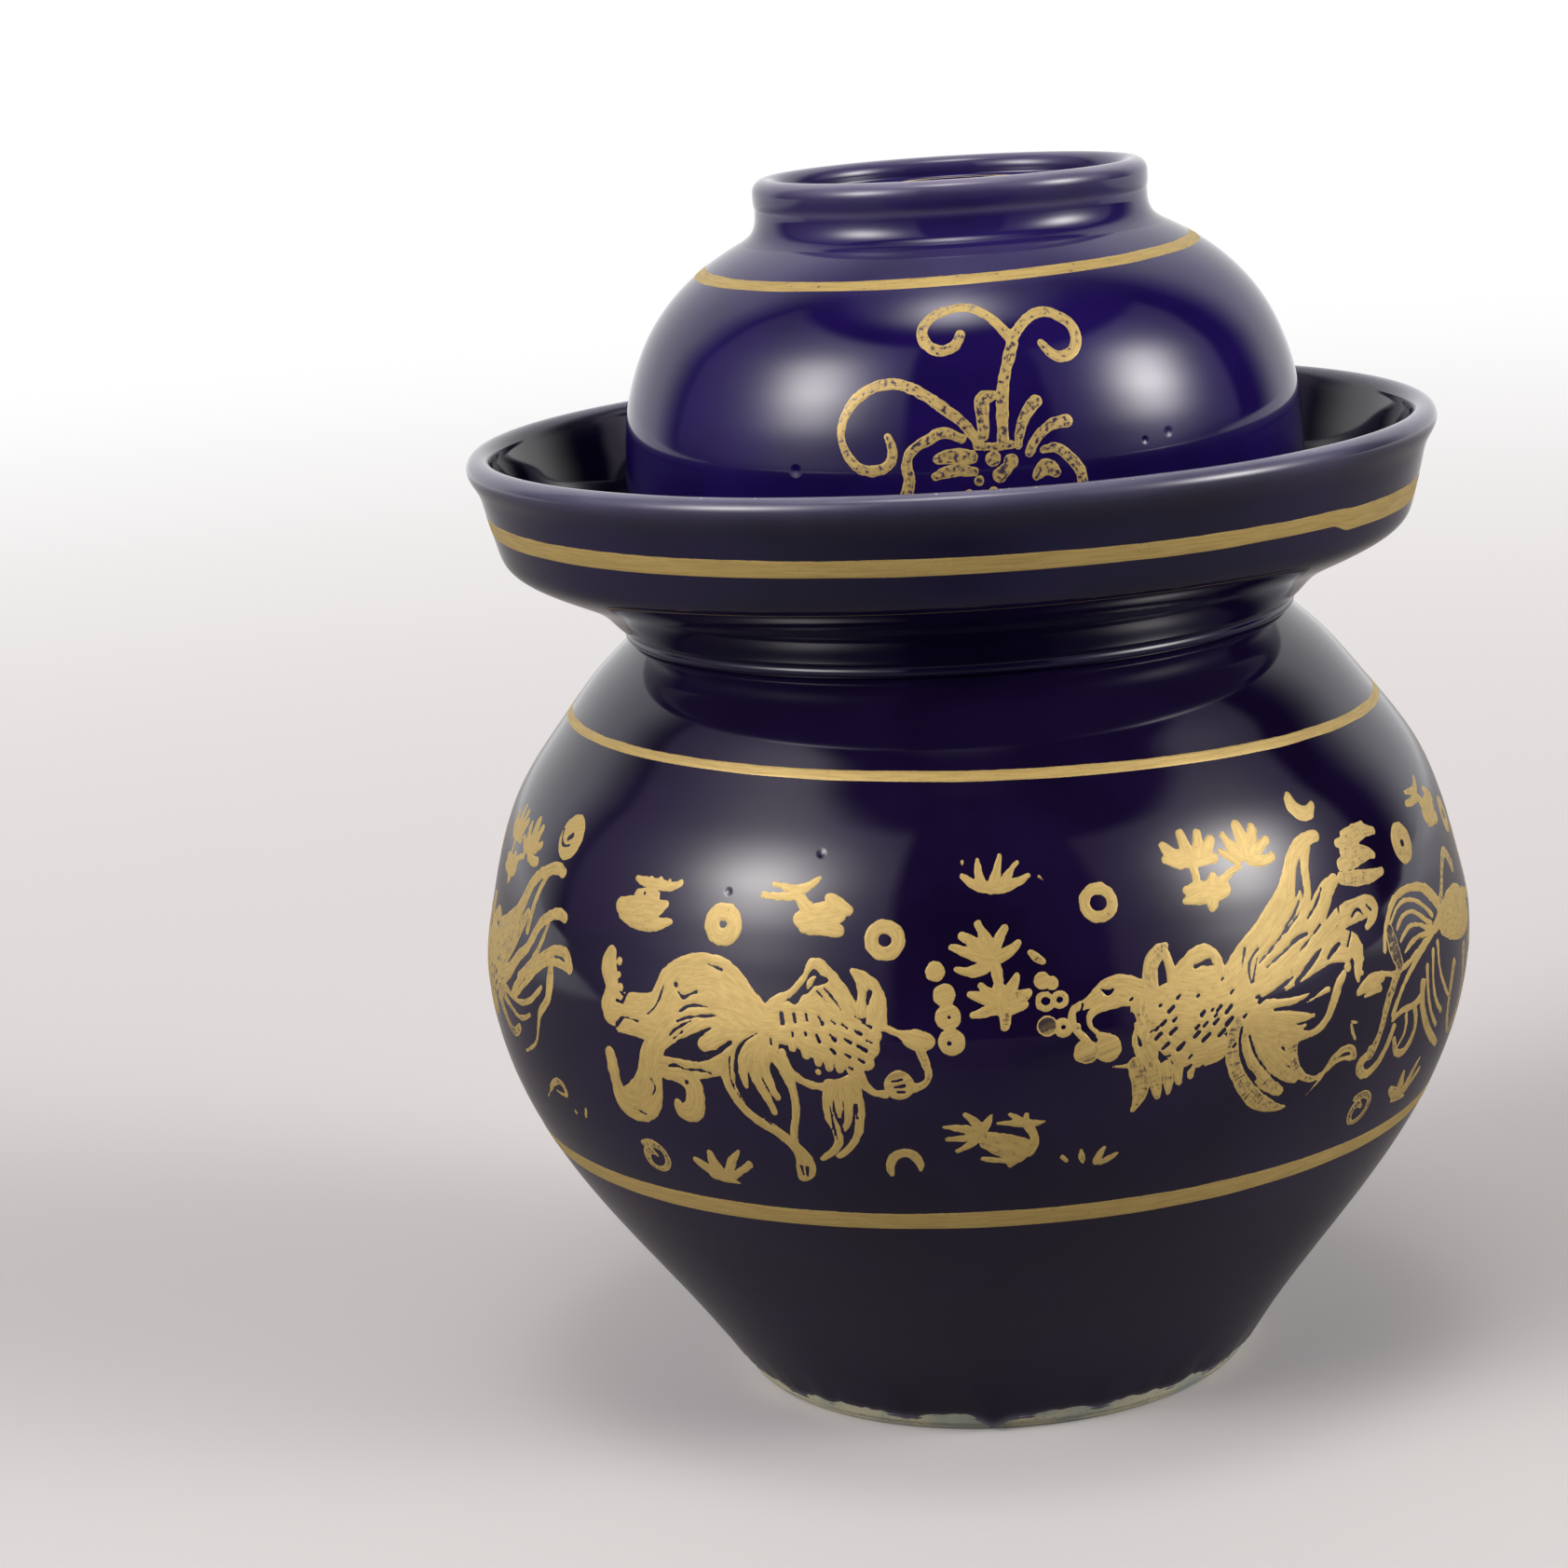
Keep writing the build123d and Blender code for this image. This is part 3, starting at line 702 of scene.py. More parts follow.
def painted(name, wall, strokes, gaps=(), move=(0, 0), grid=0.32, seed=1):
    """A painted figure: the part of a square grid that lies inside any stroke and outside the gaps.

    A point's depth is the greatest, over all discs of all strokes, of the disc's radius less the
    distance to its middle. Grid corners just outside are drawn back onto the paint's edge.
    """
    lines = [(stroke_line(points, STROKE_STEP), load) for points, load in strokes]
    everything = np.vstack([line for line, load in lines])
    low = everything[:, :2].min(0) - everything[:, 2].max() - 1
    high = everything[:, :2].max(0) + everything[:, 2].max() + 1
    us = np.arange(low[0], high[0], grid)
    vs = np.arange(low[1], high[1], grid)
    u, v = np.meshgrid(us, vs)
    depth = np.full(u.shape, -5.0)
    load = np.ones(u.shape)
    streak = np.zeros((*u.shape, 3))
    for order, (line, amount) in enumerate(lines):
        near = near_line(us, vs, line)
        gu, gv = u[near], v[near]
        inside = line[:, 2] - np.hypot(gu[..., None] - line[:, 0], gv[..., None] - line[:, 1])
        best = inside.argmax(-1)
        value = np.take_along_axis(inside, best[..., None], -1)[..., 0]
        heading = np.gradient(line[:, :2], axis=0) if len(line) > 1 else np.array([[1.0, 0.3]])
        heading /= np.linalg.norm(heading, axis=1)[:, None] + 1e-9
        side = (gv - line[best, 1]) * heading[best, 0] - (gu - line[best, 0]) * heading[best, 1]
        better = value > depth[near]
        depth[near] = np.where(better, value, depth[near])
        load[near] = np.where(better, amount, load[near])
        lane = np.stack([side, best * STROKE_STEP, np.full(side.shape, order * 5.3 + seed)], -1)
        streak[near] = np.where(better[..., None], lane, streak[near])
    for points in gaps:
        line = stroke_line(points, GAP_STEP)
        near = near_line(us, vs, line)
        away = np.hypot(u[near][..., None] - line[:, 0], v[near][..., None] - line[:, 1]) - line[:, 2]
        depth[near] = np.minimum(depth[near], away.min(-1))
    depth += 0.13 * mottle(u, v, 1.3, seed) + 0.06 * mottle(u, v, 0.5, seed + 9)
    slope_v, slope_u = np.gradient(depth, grid)
    steep = np.maximum(np.hypot(slope_u, slope_v), 0.5)
    pull = np.where(depth < 0, np.minimum(-depth, grid * 1.2), 0) / steep ** 2
    number = np.arange(u.size).reshape(u.shape)
    cell = np.stack([number[:-1, :-1], number[:-1, 1:], number[1:, 1:], number[1:, :-1]], -1).reshape(-1, 4)
    faces = cell[(depth.ravel()[cell] > 0).any(1)]
    places = wall.place(u + slope_u * pull + move[0], v + slope_v * pull + move[1], paint_height(depth))
    piece = gilded(name, places, faces, np.clip(depth, 0, 2), load, streak, wall.body)
    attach(piece, wall.body)


def moved(strokes, across, up):
    """The same strokes, moved over the wall."""
    return [([(u + across, v + up, w) for u, v, w in points], load) for points, load in strokes]


def thinner(strokes, share):
    """The same strokes with less gold on the brush."""
    return [(points, load * share) for points, load in strokes]


def scale_mark(u, v, size, lean):
    """Bare glaze between two scales: a short gap that leans from upright (0) towards level (1 or -1)."""
    across = size * (0.15 + 0.6 * abs(lean)) * (1 if lean >= 0 else -1)
    up = size * (0.75 - 0.38 * abs(lean))
    return [(u - across, v + up, 0.1 + 0.15 * size), (u + across, v - up, 0.1 + 0.22 * size)]


def ring_dab(u, v, radius, hole, load):
    """A round dab laid as one turn of the brush, with an opening in its middle."""
    turn = np.radians(np.arange(0, 361, 45) + 70)
    middle, half = (radius + hole) / 2, (radius - hole) / 2
    return ([(u + middle * cos(a), v + middle * sin(a) * 0.96, half + 0.1) for a in turn], load)


def line_overlap(turn):
    """1 where the trough's line runs over its own start, to the right of the front, and 0 elsewhere."""
    return smoothstep(0.86, 0.93, turn) * (1 - smoothstep(1.75, 1.9, turn))


# Lines of gold round the jar. Each drifts up and down a little, as the photograph shows.
band("gold_line_on_shoulder", belly_wall, lambda t: 121.2 - 3.0 * np.sin(t) + 1.0 * np.cos(t),
     lambda t: 1.25 + 0.1 * np.sin(t * 2 + 1), 11)
band("gold_line_on_belly", belly_wall, lambda t: 27.5 + 0.35 * np.sin(t) - 0.9 * np.cos(t),
     lambda t: 2.2 + 0.2 * np.cos(t + 0.8) + 0.1 * np.sin(5 * t), 21)
band("gold_line_on_trough", trough_wall,
     lambda t: 31.9 - 0.8 * np.sin(t) + 0.2 * np.cos(t) - 1.1 * line_overlap(t),
     lambda t: 2.0 - 0.15 * np.sin(t) + 0.75 * line_overlap(t), 31)
band("gold_line_on_lid", lid_wall, lambda t: 58.6 + 1.77 * np.sin(t) - 2.3 * np.cos(t),
     lambda t: 1.6 + 0.08 * np.sin(3 * t), 41)

# Fish that swims to the right, with its veil tail on the left
TAIL_AND_BACK = [
    ([(-45, 72.5, 2.6), (-50, 76, 3.6), (-56, 79.4, 4.9), (-62, 79.3, 5.0), (-67, 77, 4.4),
      (-70, 73.2, 3.4), (-74, 71.4, 3.6), (-79, 70.6, 4.0), (-83.5, 69.9, 3.0)], 0.95),
    ([(-46, 70.5, 2.5), (-52, 73, 3.4), (-58, 73.4, 3.8), (-63, 71.4, 3.9), (-67.5, 68.4, 3.2),
      (-71, 65, 2.8), (-72.5, 61.5, 3.2), (-73.8, 57, 3.6), (-76, 52.6, 4.6), (-79.2, 50.5, 4.4),
      (-82.6, 50.6, 3.0), (-84, 54, 1.7), (-84.4, 58, 1.8), (-84.6, 60.8, 1.6)], 0.95),
    ([(-72, 67.5, 2.6), (-76.5, 67.6, 2.1), (-81, 67.3, 1.7)], 0.8),
    ([(-84, 71.5, 3.2), (-84.2, 75.2, 2.0), (-85.7, 79, 2.5), (-85.2, 82, 1.5)], 0.95),
    ([(-82.6, 80.4, 1.0)], 1), ([(-82.5, 77.6, 0.8)], 1), ([(-81.6, 75, 1.0)], 1),
    ([(-56, 61.6, 2.0), (-60, 60.6, 2.0), (-65, 60.4, 2.1), (-70, 60.4, 2.6)], 0.85),
    ([(-69, 59, 1.6), (-65, 59, 2.2), (-62.3, 57, 2.4), (-62.2, 54, 2.4), (-63.6, 51.2, 2.6),
      (-66.5, 51.1, 1.7), (-67, 52.6, 1.1)], 0.9),
    ([(-46, 70, 2.0), (-51, 69.2, 2.2), (-55, 68, 2.4), (-58.5, 66.2, 1.7)], 0.95),
    ([(-51, 66.6, 0.9), (-54.2, 64.2, 1.6), (-57.5, 62.6, 1.6)], 0.95)]
FINS_BELOW = [
    ([(-48.5, 69, 1.6), (-51.5, 66.4, 1.9), (-53.1, 62.5, 2.0), (-53.2, 58.5, 1.5), (-51.6, 54.8, 1.3),
      (-48, 51.2, 1.4), (-44, 48.6, 1.3), (-41, 46, 1.3), (-39.1, 43, 1.9), (-39, 40, 2.3),
      (-40.2, 37.5, 1.1)], 0.9),
    ([(-41.8, 64.5, 1.4), (-39.7, 60.5, 1.3), (-38.9, 57, 1.0), (-39, 53, 1.0), (-40, 49, 0.9),
      (-40.3, 46.5, 1.0)], 0.9),
    ([(-46, 68, 2.2), (-48.6, 65, 1.7), (-49.7, 61.5, 1.2), (-49.5, 58.3, 0.8)], 0.95),
    ([(-45.5, 67.5, 2.4), (-47.2, 64, 1.6), (-46.8, 60, 1.3), (-45, 56.3, 1.0), (-43.7, 53, 0.8)], 0.95),
    ([(-44, 67, 2.6), (-44.9, 63.5, 1.5), (-44, 59.5, 1.1), (-42.6, 56.2, 0.8)], 0.95),
    ([(-31, 59.6, 1.5), (-31.9, 56, 1.2), (-31.7, 52.5, 1.2), (-30.6, 49, 1.1), (-30.6, 46.8, 1.0),
      (-32.5, 44.3, 0.9), (-34.8, 42.7, 0.7)], 0.85),
    ([(-26.4, 60, 1.8), (-25.3, 56, 1.15), (-25.5, 52, 1.1), (-26.5, 48.5, 1.0), (-28.5, 45.5, 0.9),
      (-31, 43.6, 0.8)], 0.85),
    ([(-29.3, 59, 1.5), (-29.6, 55.5, 0.95), (-29.7, 52.8, 0.6)], 0.85),
    ([(-27.8, 58.5, 1.5), (-27.6, 54.5, 1.0), (-28.4, 51, 0.8), (-28.9, 49.6, 0.4)], 0.85)]
SCALED_BODY = [
    ([(-45, 71.6, 3.4), (-41, 71.8, 4.2), (-36, 71.6, 4.9), (-31, 70.2, 5.2), (-26.5, 68.8, 4.8),
      (-23.4, 67.6, 3.2)], 1),
    ([(-39, 69, 1.3), (-36.3, 68, 1.6), (-33.6, 66.8, 1.9), (-30.4, 66, 1.9), (-27.5, 65.2, 2.0),
      (-25.2, 63.4, 1.8)], 1),
    ([(-38.4, 68.6, 1.3), (-38.4, 66.9, 1.0)], 1), ([(-35.8, 67.6, 1.3), (-35.6, 65.7, 1.0)], 1),
    ([(-33.2, 66, 1.3), (-33, 64, 0.9)], 1), ([(-31, 65.4, 1.2), (-30.8, 63.2, 1.0)], 1),
    ([(-28.8, 65, 1.2), (-28.7, 63, 1.0)], 1), ([(-26.4, 64, 1.3), (-26.2, 62.2, 0.9)], 1),
    ([(-33.3, 62.3, 0.8)], 0.6), ([(-21.4, 69.9, 1.7)], 1), ([(-22.2, 66.9, 1.7)], 1),
    ([(-23.0, 64.3, 1.6)], 1),
    ([(-40.8, 66, 0.9), (-39.4, 62.4, 1.0), (-36.5, 60.1, 0.95), (-33, 59.2, 0.95), (-29, 60, 1.1),
      (-25.5, 61.2, 1.2)], 0.95)]
BACK_FIN = [
    ([(-44.6, 74.6, 0.9), (-41.6, 76.5, 1.1), (-39, 78, 0.85), (-37, 80, 0.8), (-35.4, 82.4, 0.8),
      (-34.2, 84.1, 1.1), (-32, 83.0, 1.4), (-30, 80.8, 1.6), (-28, 78, 1.8), (-26.4, 75.2, 1.9)], 0.95),
    ([(-38.5, 74.6, 1.6), (-35.6, 76, 2.0), (-32.8, 77.4, 2.2), (-30.2, 77.3, 2.2),
      (-27.6, 74.6, 2.4)], 0.95),
    ([(-33.5, 79.5, 2.2), (-32, 77.5, 2.6)], 0.95),
    ([(-25.7, 82.6, 0.7), (-23.5, 80.9, 1.7), (-21.5, 78.2, 2.3), (-20.7, 75.2, 2.2),
      (-20.8, 72.5, 2.2)], 0.95),
    ([(-24.6, 81, 0.6), (-23.9, 77.8, 0.9), (-24.0, 74.4, 1.3)], 0.95)]
FACE_RIGHT = [
    ([(-20.4, 71.6, 0.8), (-18.2, 71, 0.8), (-15.6, 69.9, 1.1), (-13.2, 69, 2.2), (-11, 68.5, 1.9)], 0.95),
    ([(-12.2, 66.8, 1.1), (-11.3, 64, 0.95), (-11, 61.4, 0.8), (-12, 59.8, 0.8), (-13.8, 59.1, 1.1)], 0.6),
    ([(-24.6, 61.6, 1.2), (-23.4, 59.2, 1.0), (-21.6, 58, 0.8), (-19.8, 57.8, 1.0)], 0.95),
    ([(-16.8, 59.7, 3.2)], 0.8)]
FISH_RIGHT = TAIL_AND_BACK + FINS_BELOW + SCALED_BODY + BACK_FIN + FACE_RIGHT
SCALE_MARKS = [(-40.8, 72.8, 1.25), (-38, 73, 1.0), (-35.4, 73.2, 0.75), (-32.4, 72.7, 1.1),
               (-29.8, 72.4, 0.6), (-27.4, 71.6, 0.7), (-24.6, 70.4, 0.8), (-38.4, 69.7, 0.35),
               (-35.6, 69.9, 0.35), (-33, 69.1, 0.85), (-29.9, 69.4, 1.0), (-26.8, 68.7, 0.8),
               (-23.9, 67.3, 1.05), (-22.4, 68.6, 0.6), (-29.9, 66.6, 0.7), (-27, 65.8, 0.75),
               (-24.2, 64.8, 0.7), (-26.4, 63.2, 0.4), (-43.2, 68, 0.7)]
LINES_RIGHT = [
    [(-39.4, 76.6, 0.2), (-38, 76.2, 0.45), (-36.8, 77.6, 0.25), (-35.4, 78.3, 0.35), (-34, 79.6, 0.25),
     (-32.6, 80.6, 0.75), (-31.2, 80.7, 0.2)],
    [(-68.4, 62.8, 0.15), (-66, 64.2, 0.75), (-63.4, 65.3, 1.4), (-61.6, 64.2, 0.9), (-59.8, 63.1, 0.3)],
    [(-60.2, 62.5, 0.2), (-57, 63.9, 0.32), (-54.4, 65.7, 0.4), (-52.3, 67.2, 0.3)],
    [(-31.7, 79, 0.08), (-29.7, 76.9, 0.15), (-28.2, 74.9, 0.08)],
    [(-33.2, 78.4, 0.08), (-31.2, 76.4, 0.13)],
    [(-65.4, 76.1, 0.2), (-64.2, 75.2, 0.26), (-62.6, 75.9, 0.14), (-60.9, 76.6, 0.2)],
    [(-64.9, 72.2, 0.1), (-63.1, 73.3, 0.22), (-60.3, 73.9, 0.16), (-58.1, 73.8, 0.1)],
    [(-65.3, 70.2, 0.25), (-63.1, 71.1, 0.12), (-59.8, 71.8, 0.2), (-55.9, 72.2, 0.08)],
    [(-67.2, 67.2, 0.22), (-65.3, 68.8, 0.26), (-62, 70.6, 0.1)], [(-66.2, 66.6, 0.1), (-64, 68.2, 0.16)],
    [(-69.5, 76.9, 0.1), (-69.9, 75.6, 0.15), (-71, 73, 0.12), (-73.2, 70.8, 0.08)],
    [(-81.7, 67.4, 0.15), (-80.9, 68.7, 0.2), (-78.7, 69.2, 0.12), (-75.9, 68.9, 0.1)],
    [(-82.4, 72.3, 0.3), (-80.6, 72, 0.14)], [(-81.6, 74.2, 0.2), (-80, 73.4, 0.1)],
    [(-68.1, 60.5, 0.1), (-66.2, 60.9, 0.26), (-63.4, 60.4, 0.14), (-60.9, 60.6, 0.22),
     (-57.4, 60.2, 0.08)],
    [(-73.4, 57, 0.08), (-72.6, 55.4, 0.14), (-74, 53.2, 0.08)], [(-81, 49.4, 0.08), (-77, 48.4, 0.12)],
    [(-52.6, 64.2, 0.08), (-52.9, 60, 0.14), (-51.4, 56, 0.1), (-47.6, 52.2, 0.12), (-43.8, 49.4, 0.08)],
    [(-31.4, 55, 0.1), (-31.2, 50.6, 0.16), (-30.6, 46.6, 0.1)], [(-25.9, 55.6, 0.16), (-25.9, 52.4, 0.1)],
    [(-46.2, 69.4, 0.1), (-48.6, 68, 0.2), (-50.6, 65.6, 0.35), (-51.3, 62.4, 0.35), (-51, 59.4, 0.5),
     (-50.1, 57.2, 0.5)],
    [(-66.2, 77.6, 0.45)], [(-58.6, 82.5, 0.12), (-55, 81.6, 0.18)], [(-63.8, 57.6, 0.4)],
    [(-22.2, 78.5, 0.4), (-22.6, 76.2, 0.2)], [(-23.7, 72.4, 0.15), (-22, 71.5, 0.2)],
    [(-18.2, 60.4, 0.18), (-16.2, 60.9, 0.2)], [(-17.8, 59.3, 0.15), (-15.9, 59.6, 0.2)],
    [(-17.2, 58.2, 0.15), (-15.9, 58.3, 0.15)], [(-40, 40.5, 0.25), (-39.8, 38.5, 0.2)],
    [(-38.6, 40.2, 0.3), (-39, 38.2, 0.2)], [(-79.5, 74.2, 0.1), (-80.4, 72.6, 0.3)],
    [(-80, 69.2, 0.15), (-82, 67.4, 0.35)]]
FISH_RIGHT_GAPS = [scale_mark(u, v, size, min(max((u + 37) / 12, 0), 1)) for u, v, size in SCALE_MARKS]
FISH_RIGHT_GAPS += LINES_RIGHT

# The next fish, drawn in thin lines, as it shows at the photograph's right edge
FOLLOWING_STROKES = [
    ([(96.5, 71.5, 0.7), (98, 75, 0.8), (100.5, 78, 0.9), (104, 80.6, 1.0), (108, 81.5, 0.9),
      (113, 81.2, 1.0), (118, 79.8, 1.3), (121.5, 77.5, 1.7), (124.5, 74.5, 1.8)], 0.8),
    ([(101, 76.5, 0.5), (104, 78.6, 0.6), (108, 79.4, 0.6), (112, 78.6, 0.6), (116, 76.5, 0.7),
      (119.5, 73.6, 0.8)], 0.8),
    ([(102.5, 74.6, 0.5), (106, 76.6, 0.6), (110, 76.6, 0.6), (114, 74.6, 0.7), (118, 72, 0.8)], 0.8),
    ([(103, 72, 0.5), (107, 73.8, 0.6), (111, 73.6, 0.6), (115, 72, 0.7), (119, 70.6, 0.8)], 0.8),
    ([(104, 69.4, 0.5), (108, 70.8, 0.7), (112, 71, 0.7), (117, 70.4, 0.9)], 0.8),
    ([(99.5, 75, 1.6), (100, 71, 2.0), (101, 67.5, 1.6)], 0.1),
    ([(94, 67.4, 0.6), (98, 66.2, 0.7), (104, 66.8, 0.7), (110, 68.6, 0.7), (116, 70, 0.9),
      (123, 71.6, 1.8)], 0.8),
    ([(100, 66, 1.2), (97, 62.5, 1.3), (95, 58.6, 1.2), (93.4, 54.5, 1.1), (90.5, 50.6, 1.2),
      (90.4, 52, 0.8)], 0.5),
    ([(90.6, 51, 1.0), (87.6, 48.6, 1.4), (89.4, 46.4, 1.2), (93.4, 47.2, 1.1), (96.5, 50.4, 1.0),
      (98.6, 54.6, 1.0)], 0.7),
    ([(98, 57.5, 0.9), (100.4, 61, 0.8), (104, 64.4, 0.8), (108, 66.6, 0.8), (113, 68.8, 0.9),
      (119, 70.6, 1.0)], 0.85),
    ([(98, 56.4, 0.8), (102, 57.4, 0.8), (106, 57.3, 0.9), (110, 58.6, 1.1), (111.4, 61, 1.0)], 0.85),
    ([(99.5, 51.6, 0.8), (101.2, 48.4, 1.0), (104.4, 47.4, 1.1), (107.4, 49.4, 1.0), (108.4, 53, 0.9),
      (107.4, 56.4, 0.9)], 0.6),
    ([(103.6, 56, 0.7), (103.8, 52.4, 0.6), (101.8, 49.8, 0.6)], 0.8),
    ([(110.5, 61, 1.3), (111, 56.4, 1.2), (113.6, 52, 1.2), (117, 48.6, 1.2), (121, 45.8, 1.1),
      (125, 43.4, 0.9)], 0.6),
    ([(113, 64, 0.9), (113.6, 58.5, 0.7), (116.5, 53, 0.7), (121, 49, 0.7)], 0.7),
    ([(116.5, 66.5, 0.9), (116, 61, 0.7), (118, 56, 0.7), (123, 51.6, 0.7)], 0.7),
    ([(119.5, 67.5, 0.9), (119.6, 63, 0.7), (122.6, 58, 0.7), (127, 54, 0.6)], 0.7),
    ([(124, 70, 2.2), (129, 70.4, 4.6), (136, 70, 6.0), (143, 68.8, 5.2), (147, 67.4, 3.2)], 0.7),
    ([(124, 74, 1.4), (128, 76.4, 1.0), (133, 81, 1.0), (138, 83, 1.3), (142, 79, 1.8)], 0.5),
    ([(130, 60, 1.6), (128.6, 54, 1.2), (130, 48, 1.0), (134, 44, 0.8)], 0.5),
    ([(140, 61, 1.8), (142, 54, 1.2), (141, 47, 1.0), (137, 43, 0.8)], 0.5),
    ([(147, 71.6, 1.6), (153, 70, 1.2), (158, 68.5, 1.9)], 0.6), ([(152.5, 59.8, 3.2)], 0.4)]

# Fish that swims to the left, with its tail swept up and out to the right
FISH_LEFT = [
    ([(36.6, 71.4, 3.4), (39.5, 71.2, 5.0), (43.5, 70.6, 6.3), (49.5, 69.8, 5.8), (54, 70.6, 4.2)], 0.86),
    ([(36.4, 66, 2.6), (38.5, 63.8, 2.9), (42, 61.6, 3.3), (47.6, 61.6, 3.4)], 0.82),
    ([(32.6, 73.4, 2.2), (32.6, 70.4, 2.3), (33.2, 68.4, 2.6), (32.6, 65.2, 2.6), (33.2, 62.4, 2.4)], 0.68),
    ([(35.2, 76, 1.7), (35.6, 79.6, 1.8), (37.4, 82.2, 1.6), (39.3, 83.3, 0.9)], 0.6),
    ([(39, 82.4, 0.9), (39.8, 79.2, 1.2), (40.4, 76, 1.8)], 0.9),
    ([(42, 78.2, 1.5), (45, 80, 1.8), (48.6, 80.8, 1.6), (50, 79.8, 1.2), (50.4, 76.6, 2.0)], 0.9),
    ([(45, 76.5, 2.4), (49, 75.6, 2.4)], 0.95),
    ([(33.4, 74.8, 2.4), (30, 76.2, 2.7), (26.6, 76.3, 2.5), (23.4, 74.9, 1.6), (20.8, 73.8, 1.1),
      (18.6, 72.8, 0.9), (18.3, 70.8, 0.8), (19.4, 68.4, 0.9), (21, 66.6, 0.8)], 0.8),
    ([(31, 73.7, 1.2), (27.2, 73.5, 1.2), (23.8, 72.7, 1.0), (21.8, 71.4, 0.8), (21.6, 69.9, 0.6),
      (22.9, 68.3, 0.6)], 0.9),
    ([(20.6, 64.4, 2.6)], 0.45), ([(25.1, 64.7, 2.9)], 0.6), ([(23.6, 67.4, 0.9), (25.4, 67, 0.8)], 0.9),
    ([(26, 60.7, 0.35), (29.4, 60.6, 0.6), (33, 61.6, 1.3)], 0.9),
    ([(30.8, 60.4, 2.0), (31.6, 56.8, 2.1), (31.2, 53.6, 1.5), (30, 51, 0.6)], 0.55),
    ([(34.2, 60, 1.7), (34.7, 56, 1.5), (35.2, 53.2, 0.8)], 0.62),
    ([(37.1, 59.2, 1.5), (37.5, 56, 1.2), (37.4, 53.6, 0.6)], 0.68),
    ([(39.6, 59, 1.4), (39.8, 55.6, 0.9)], 0.75), ([(42.4, 58.6, 1.2), (42.4, 56.4, 0.8)], 0.8)]
TAIL_SWEPT_UP = [
    ([(53, 74, 3.2), (57.6, 77.8, 3.6), (62.6, 81.4, 3.6), (67.6, 85.6, 3.4), (71.4, 90.4, 2.3),
      (73.8, 94.6, 1.8), (77, 97.3, 1.8), (81, 98.5, 1.6), (83.3, 98.6, 1.4)], 0.95),
    ([(79.5, 97, 1.4), (77.3, 93, 1.25), (76.6, 88.8, 1.2), (74.8, 85, 1.5), (70.6, 81.2, 2.8),
      (65.4, 78.2, 3.4), (59, 74.6, 3.6)], 0.95),
    ([(66, 83, 2.6), (70.2, 86.4, 2.2), (72.3, 90, 0.8)], 0.95),
    ([(70, 84, 1.8), (73.6, 86.9, 1.1), (74.4, 88.4, 0.5)], 0.95),
    ([(58, 72.6, 2.6), (66, 75.6, 2.7), (73, 79.4, 2.8), (78, 83.4, 2.7), (81.6, 87, 2.3),
      (84.8, 88.8, 1.6)], 0.95),
    ([(66, 73.4, 1.8), (75, 77.2, 2.2), (81, 79.6, 2.4), (86, 81.3, 2.6), (91.4, 81.6, 2.6),
      (95.4, 80.9, 2.1), (94.2, 78.8, 1.4), (92.2, 77.6, 0.8)], 0.78),
    ([(60, 70.6, 1.1), (68, 72.2, 1.4), (76, 75, 1.9), (82.6, 76.4, 2.2), (86.4, 75, 2.6), (87.2, 72, 1.7),
      (86.4, 69.4, 1.2), (86.2, 67.8, 0.6)], 0.85),
    ([(88.8, 74.2, 0.7)], 1), ([(88.6, 71.6, 0.7)], 1), ([(87.6, 68.9, 0.7)], 1), ([(83.6, 71, 1.2)], 1),
    ([(66, 70.2, 0.5), (74, 72.6, 0.9), (80.5, 73.9, 1.3), (84, 73.4, 1.6)], 0.9),
    ([(55, 67.6, 3.0), (62, 67.4, 1.6), (70, 67.3, 1.0), (77, 67.9, 0.7)], 0.95),
    ([(57, 65.6, 2.8), (63.6, 64.6, 1.9), (70, 63.6, 1.0), (72.4, 63.4, 0.6)], 0.95),
    ([(57.5, 64, 2.6), (62, 62, 2.6), (66.4, 60.6, 2.4), (69.6, 59.9, 1.1), (73, 60, 0.9), (76, 61.9, 1.0),
      (78.2, 65, 1.2), (80, 67.9, 1.2), (82.2, 70, 0.9)], 0.85),
    ([(70, 61.8, 0.5), (66.5, 61.6, 1.0)], 0.9)]
TAIL_HANGING = [
    ([(53.4, 66.4, 2.0), (52.2, 62, 1.8), (52, 58, 1.8), (53.6, 54, 1.9), (55.8, 50.6, 2.0),
      (58.8, 47.6, 2.0), (62.4, 45.6, 1.3), (66, 44.8, 0.5)], 0.5),
    ([(54.8, 65, 1.6), (55.4, 60, 1.4), (57.6, 55, 1.6), (60.6, 51.2, 1.7), (64, 48.8, 1.2)], 0.62),
    ([(56.4, 64, 1.7), (58.6, 59.2, 1.6), (61.6, 55.4, 1.7), (64.8, 52.6, 1.6), (67.8, 50.6, 1.0)], 0.7),
    ([(59, 61, 1.6), (63, 57, 1.6), (66, 54.8, 0.8)], 0.85),
    ([(66.4, 58.8, 1.8), (67.3, 54.6, 1.3), (69.2, 51.5, 1.1), (72.4, 49.6, 0.8), (75.6, 50, 0.75),
      (78.8, 52.8, 0.95), (81.8, 54, 0.9), (84.4, 53.2, 0.9), (85.3, 51.4, 0.8)], 0.55),
    ([(77.2, 50.8, 0.7), (80.6, 52, 0.55), (84, 51.5, 0.8)], 0.8),
    ([(76, 49.7, 0.5), (73, 47.1, 0.35), (70.7, 45.3, 0.2)], 0.9)]
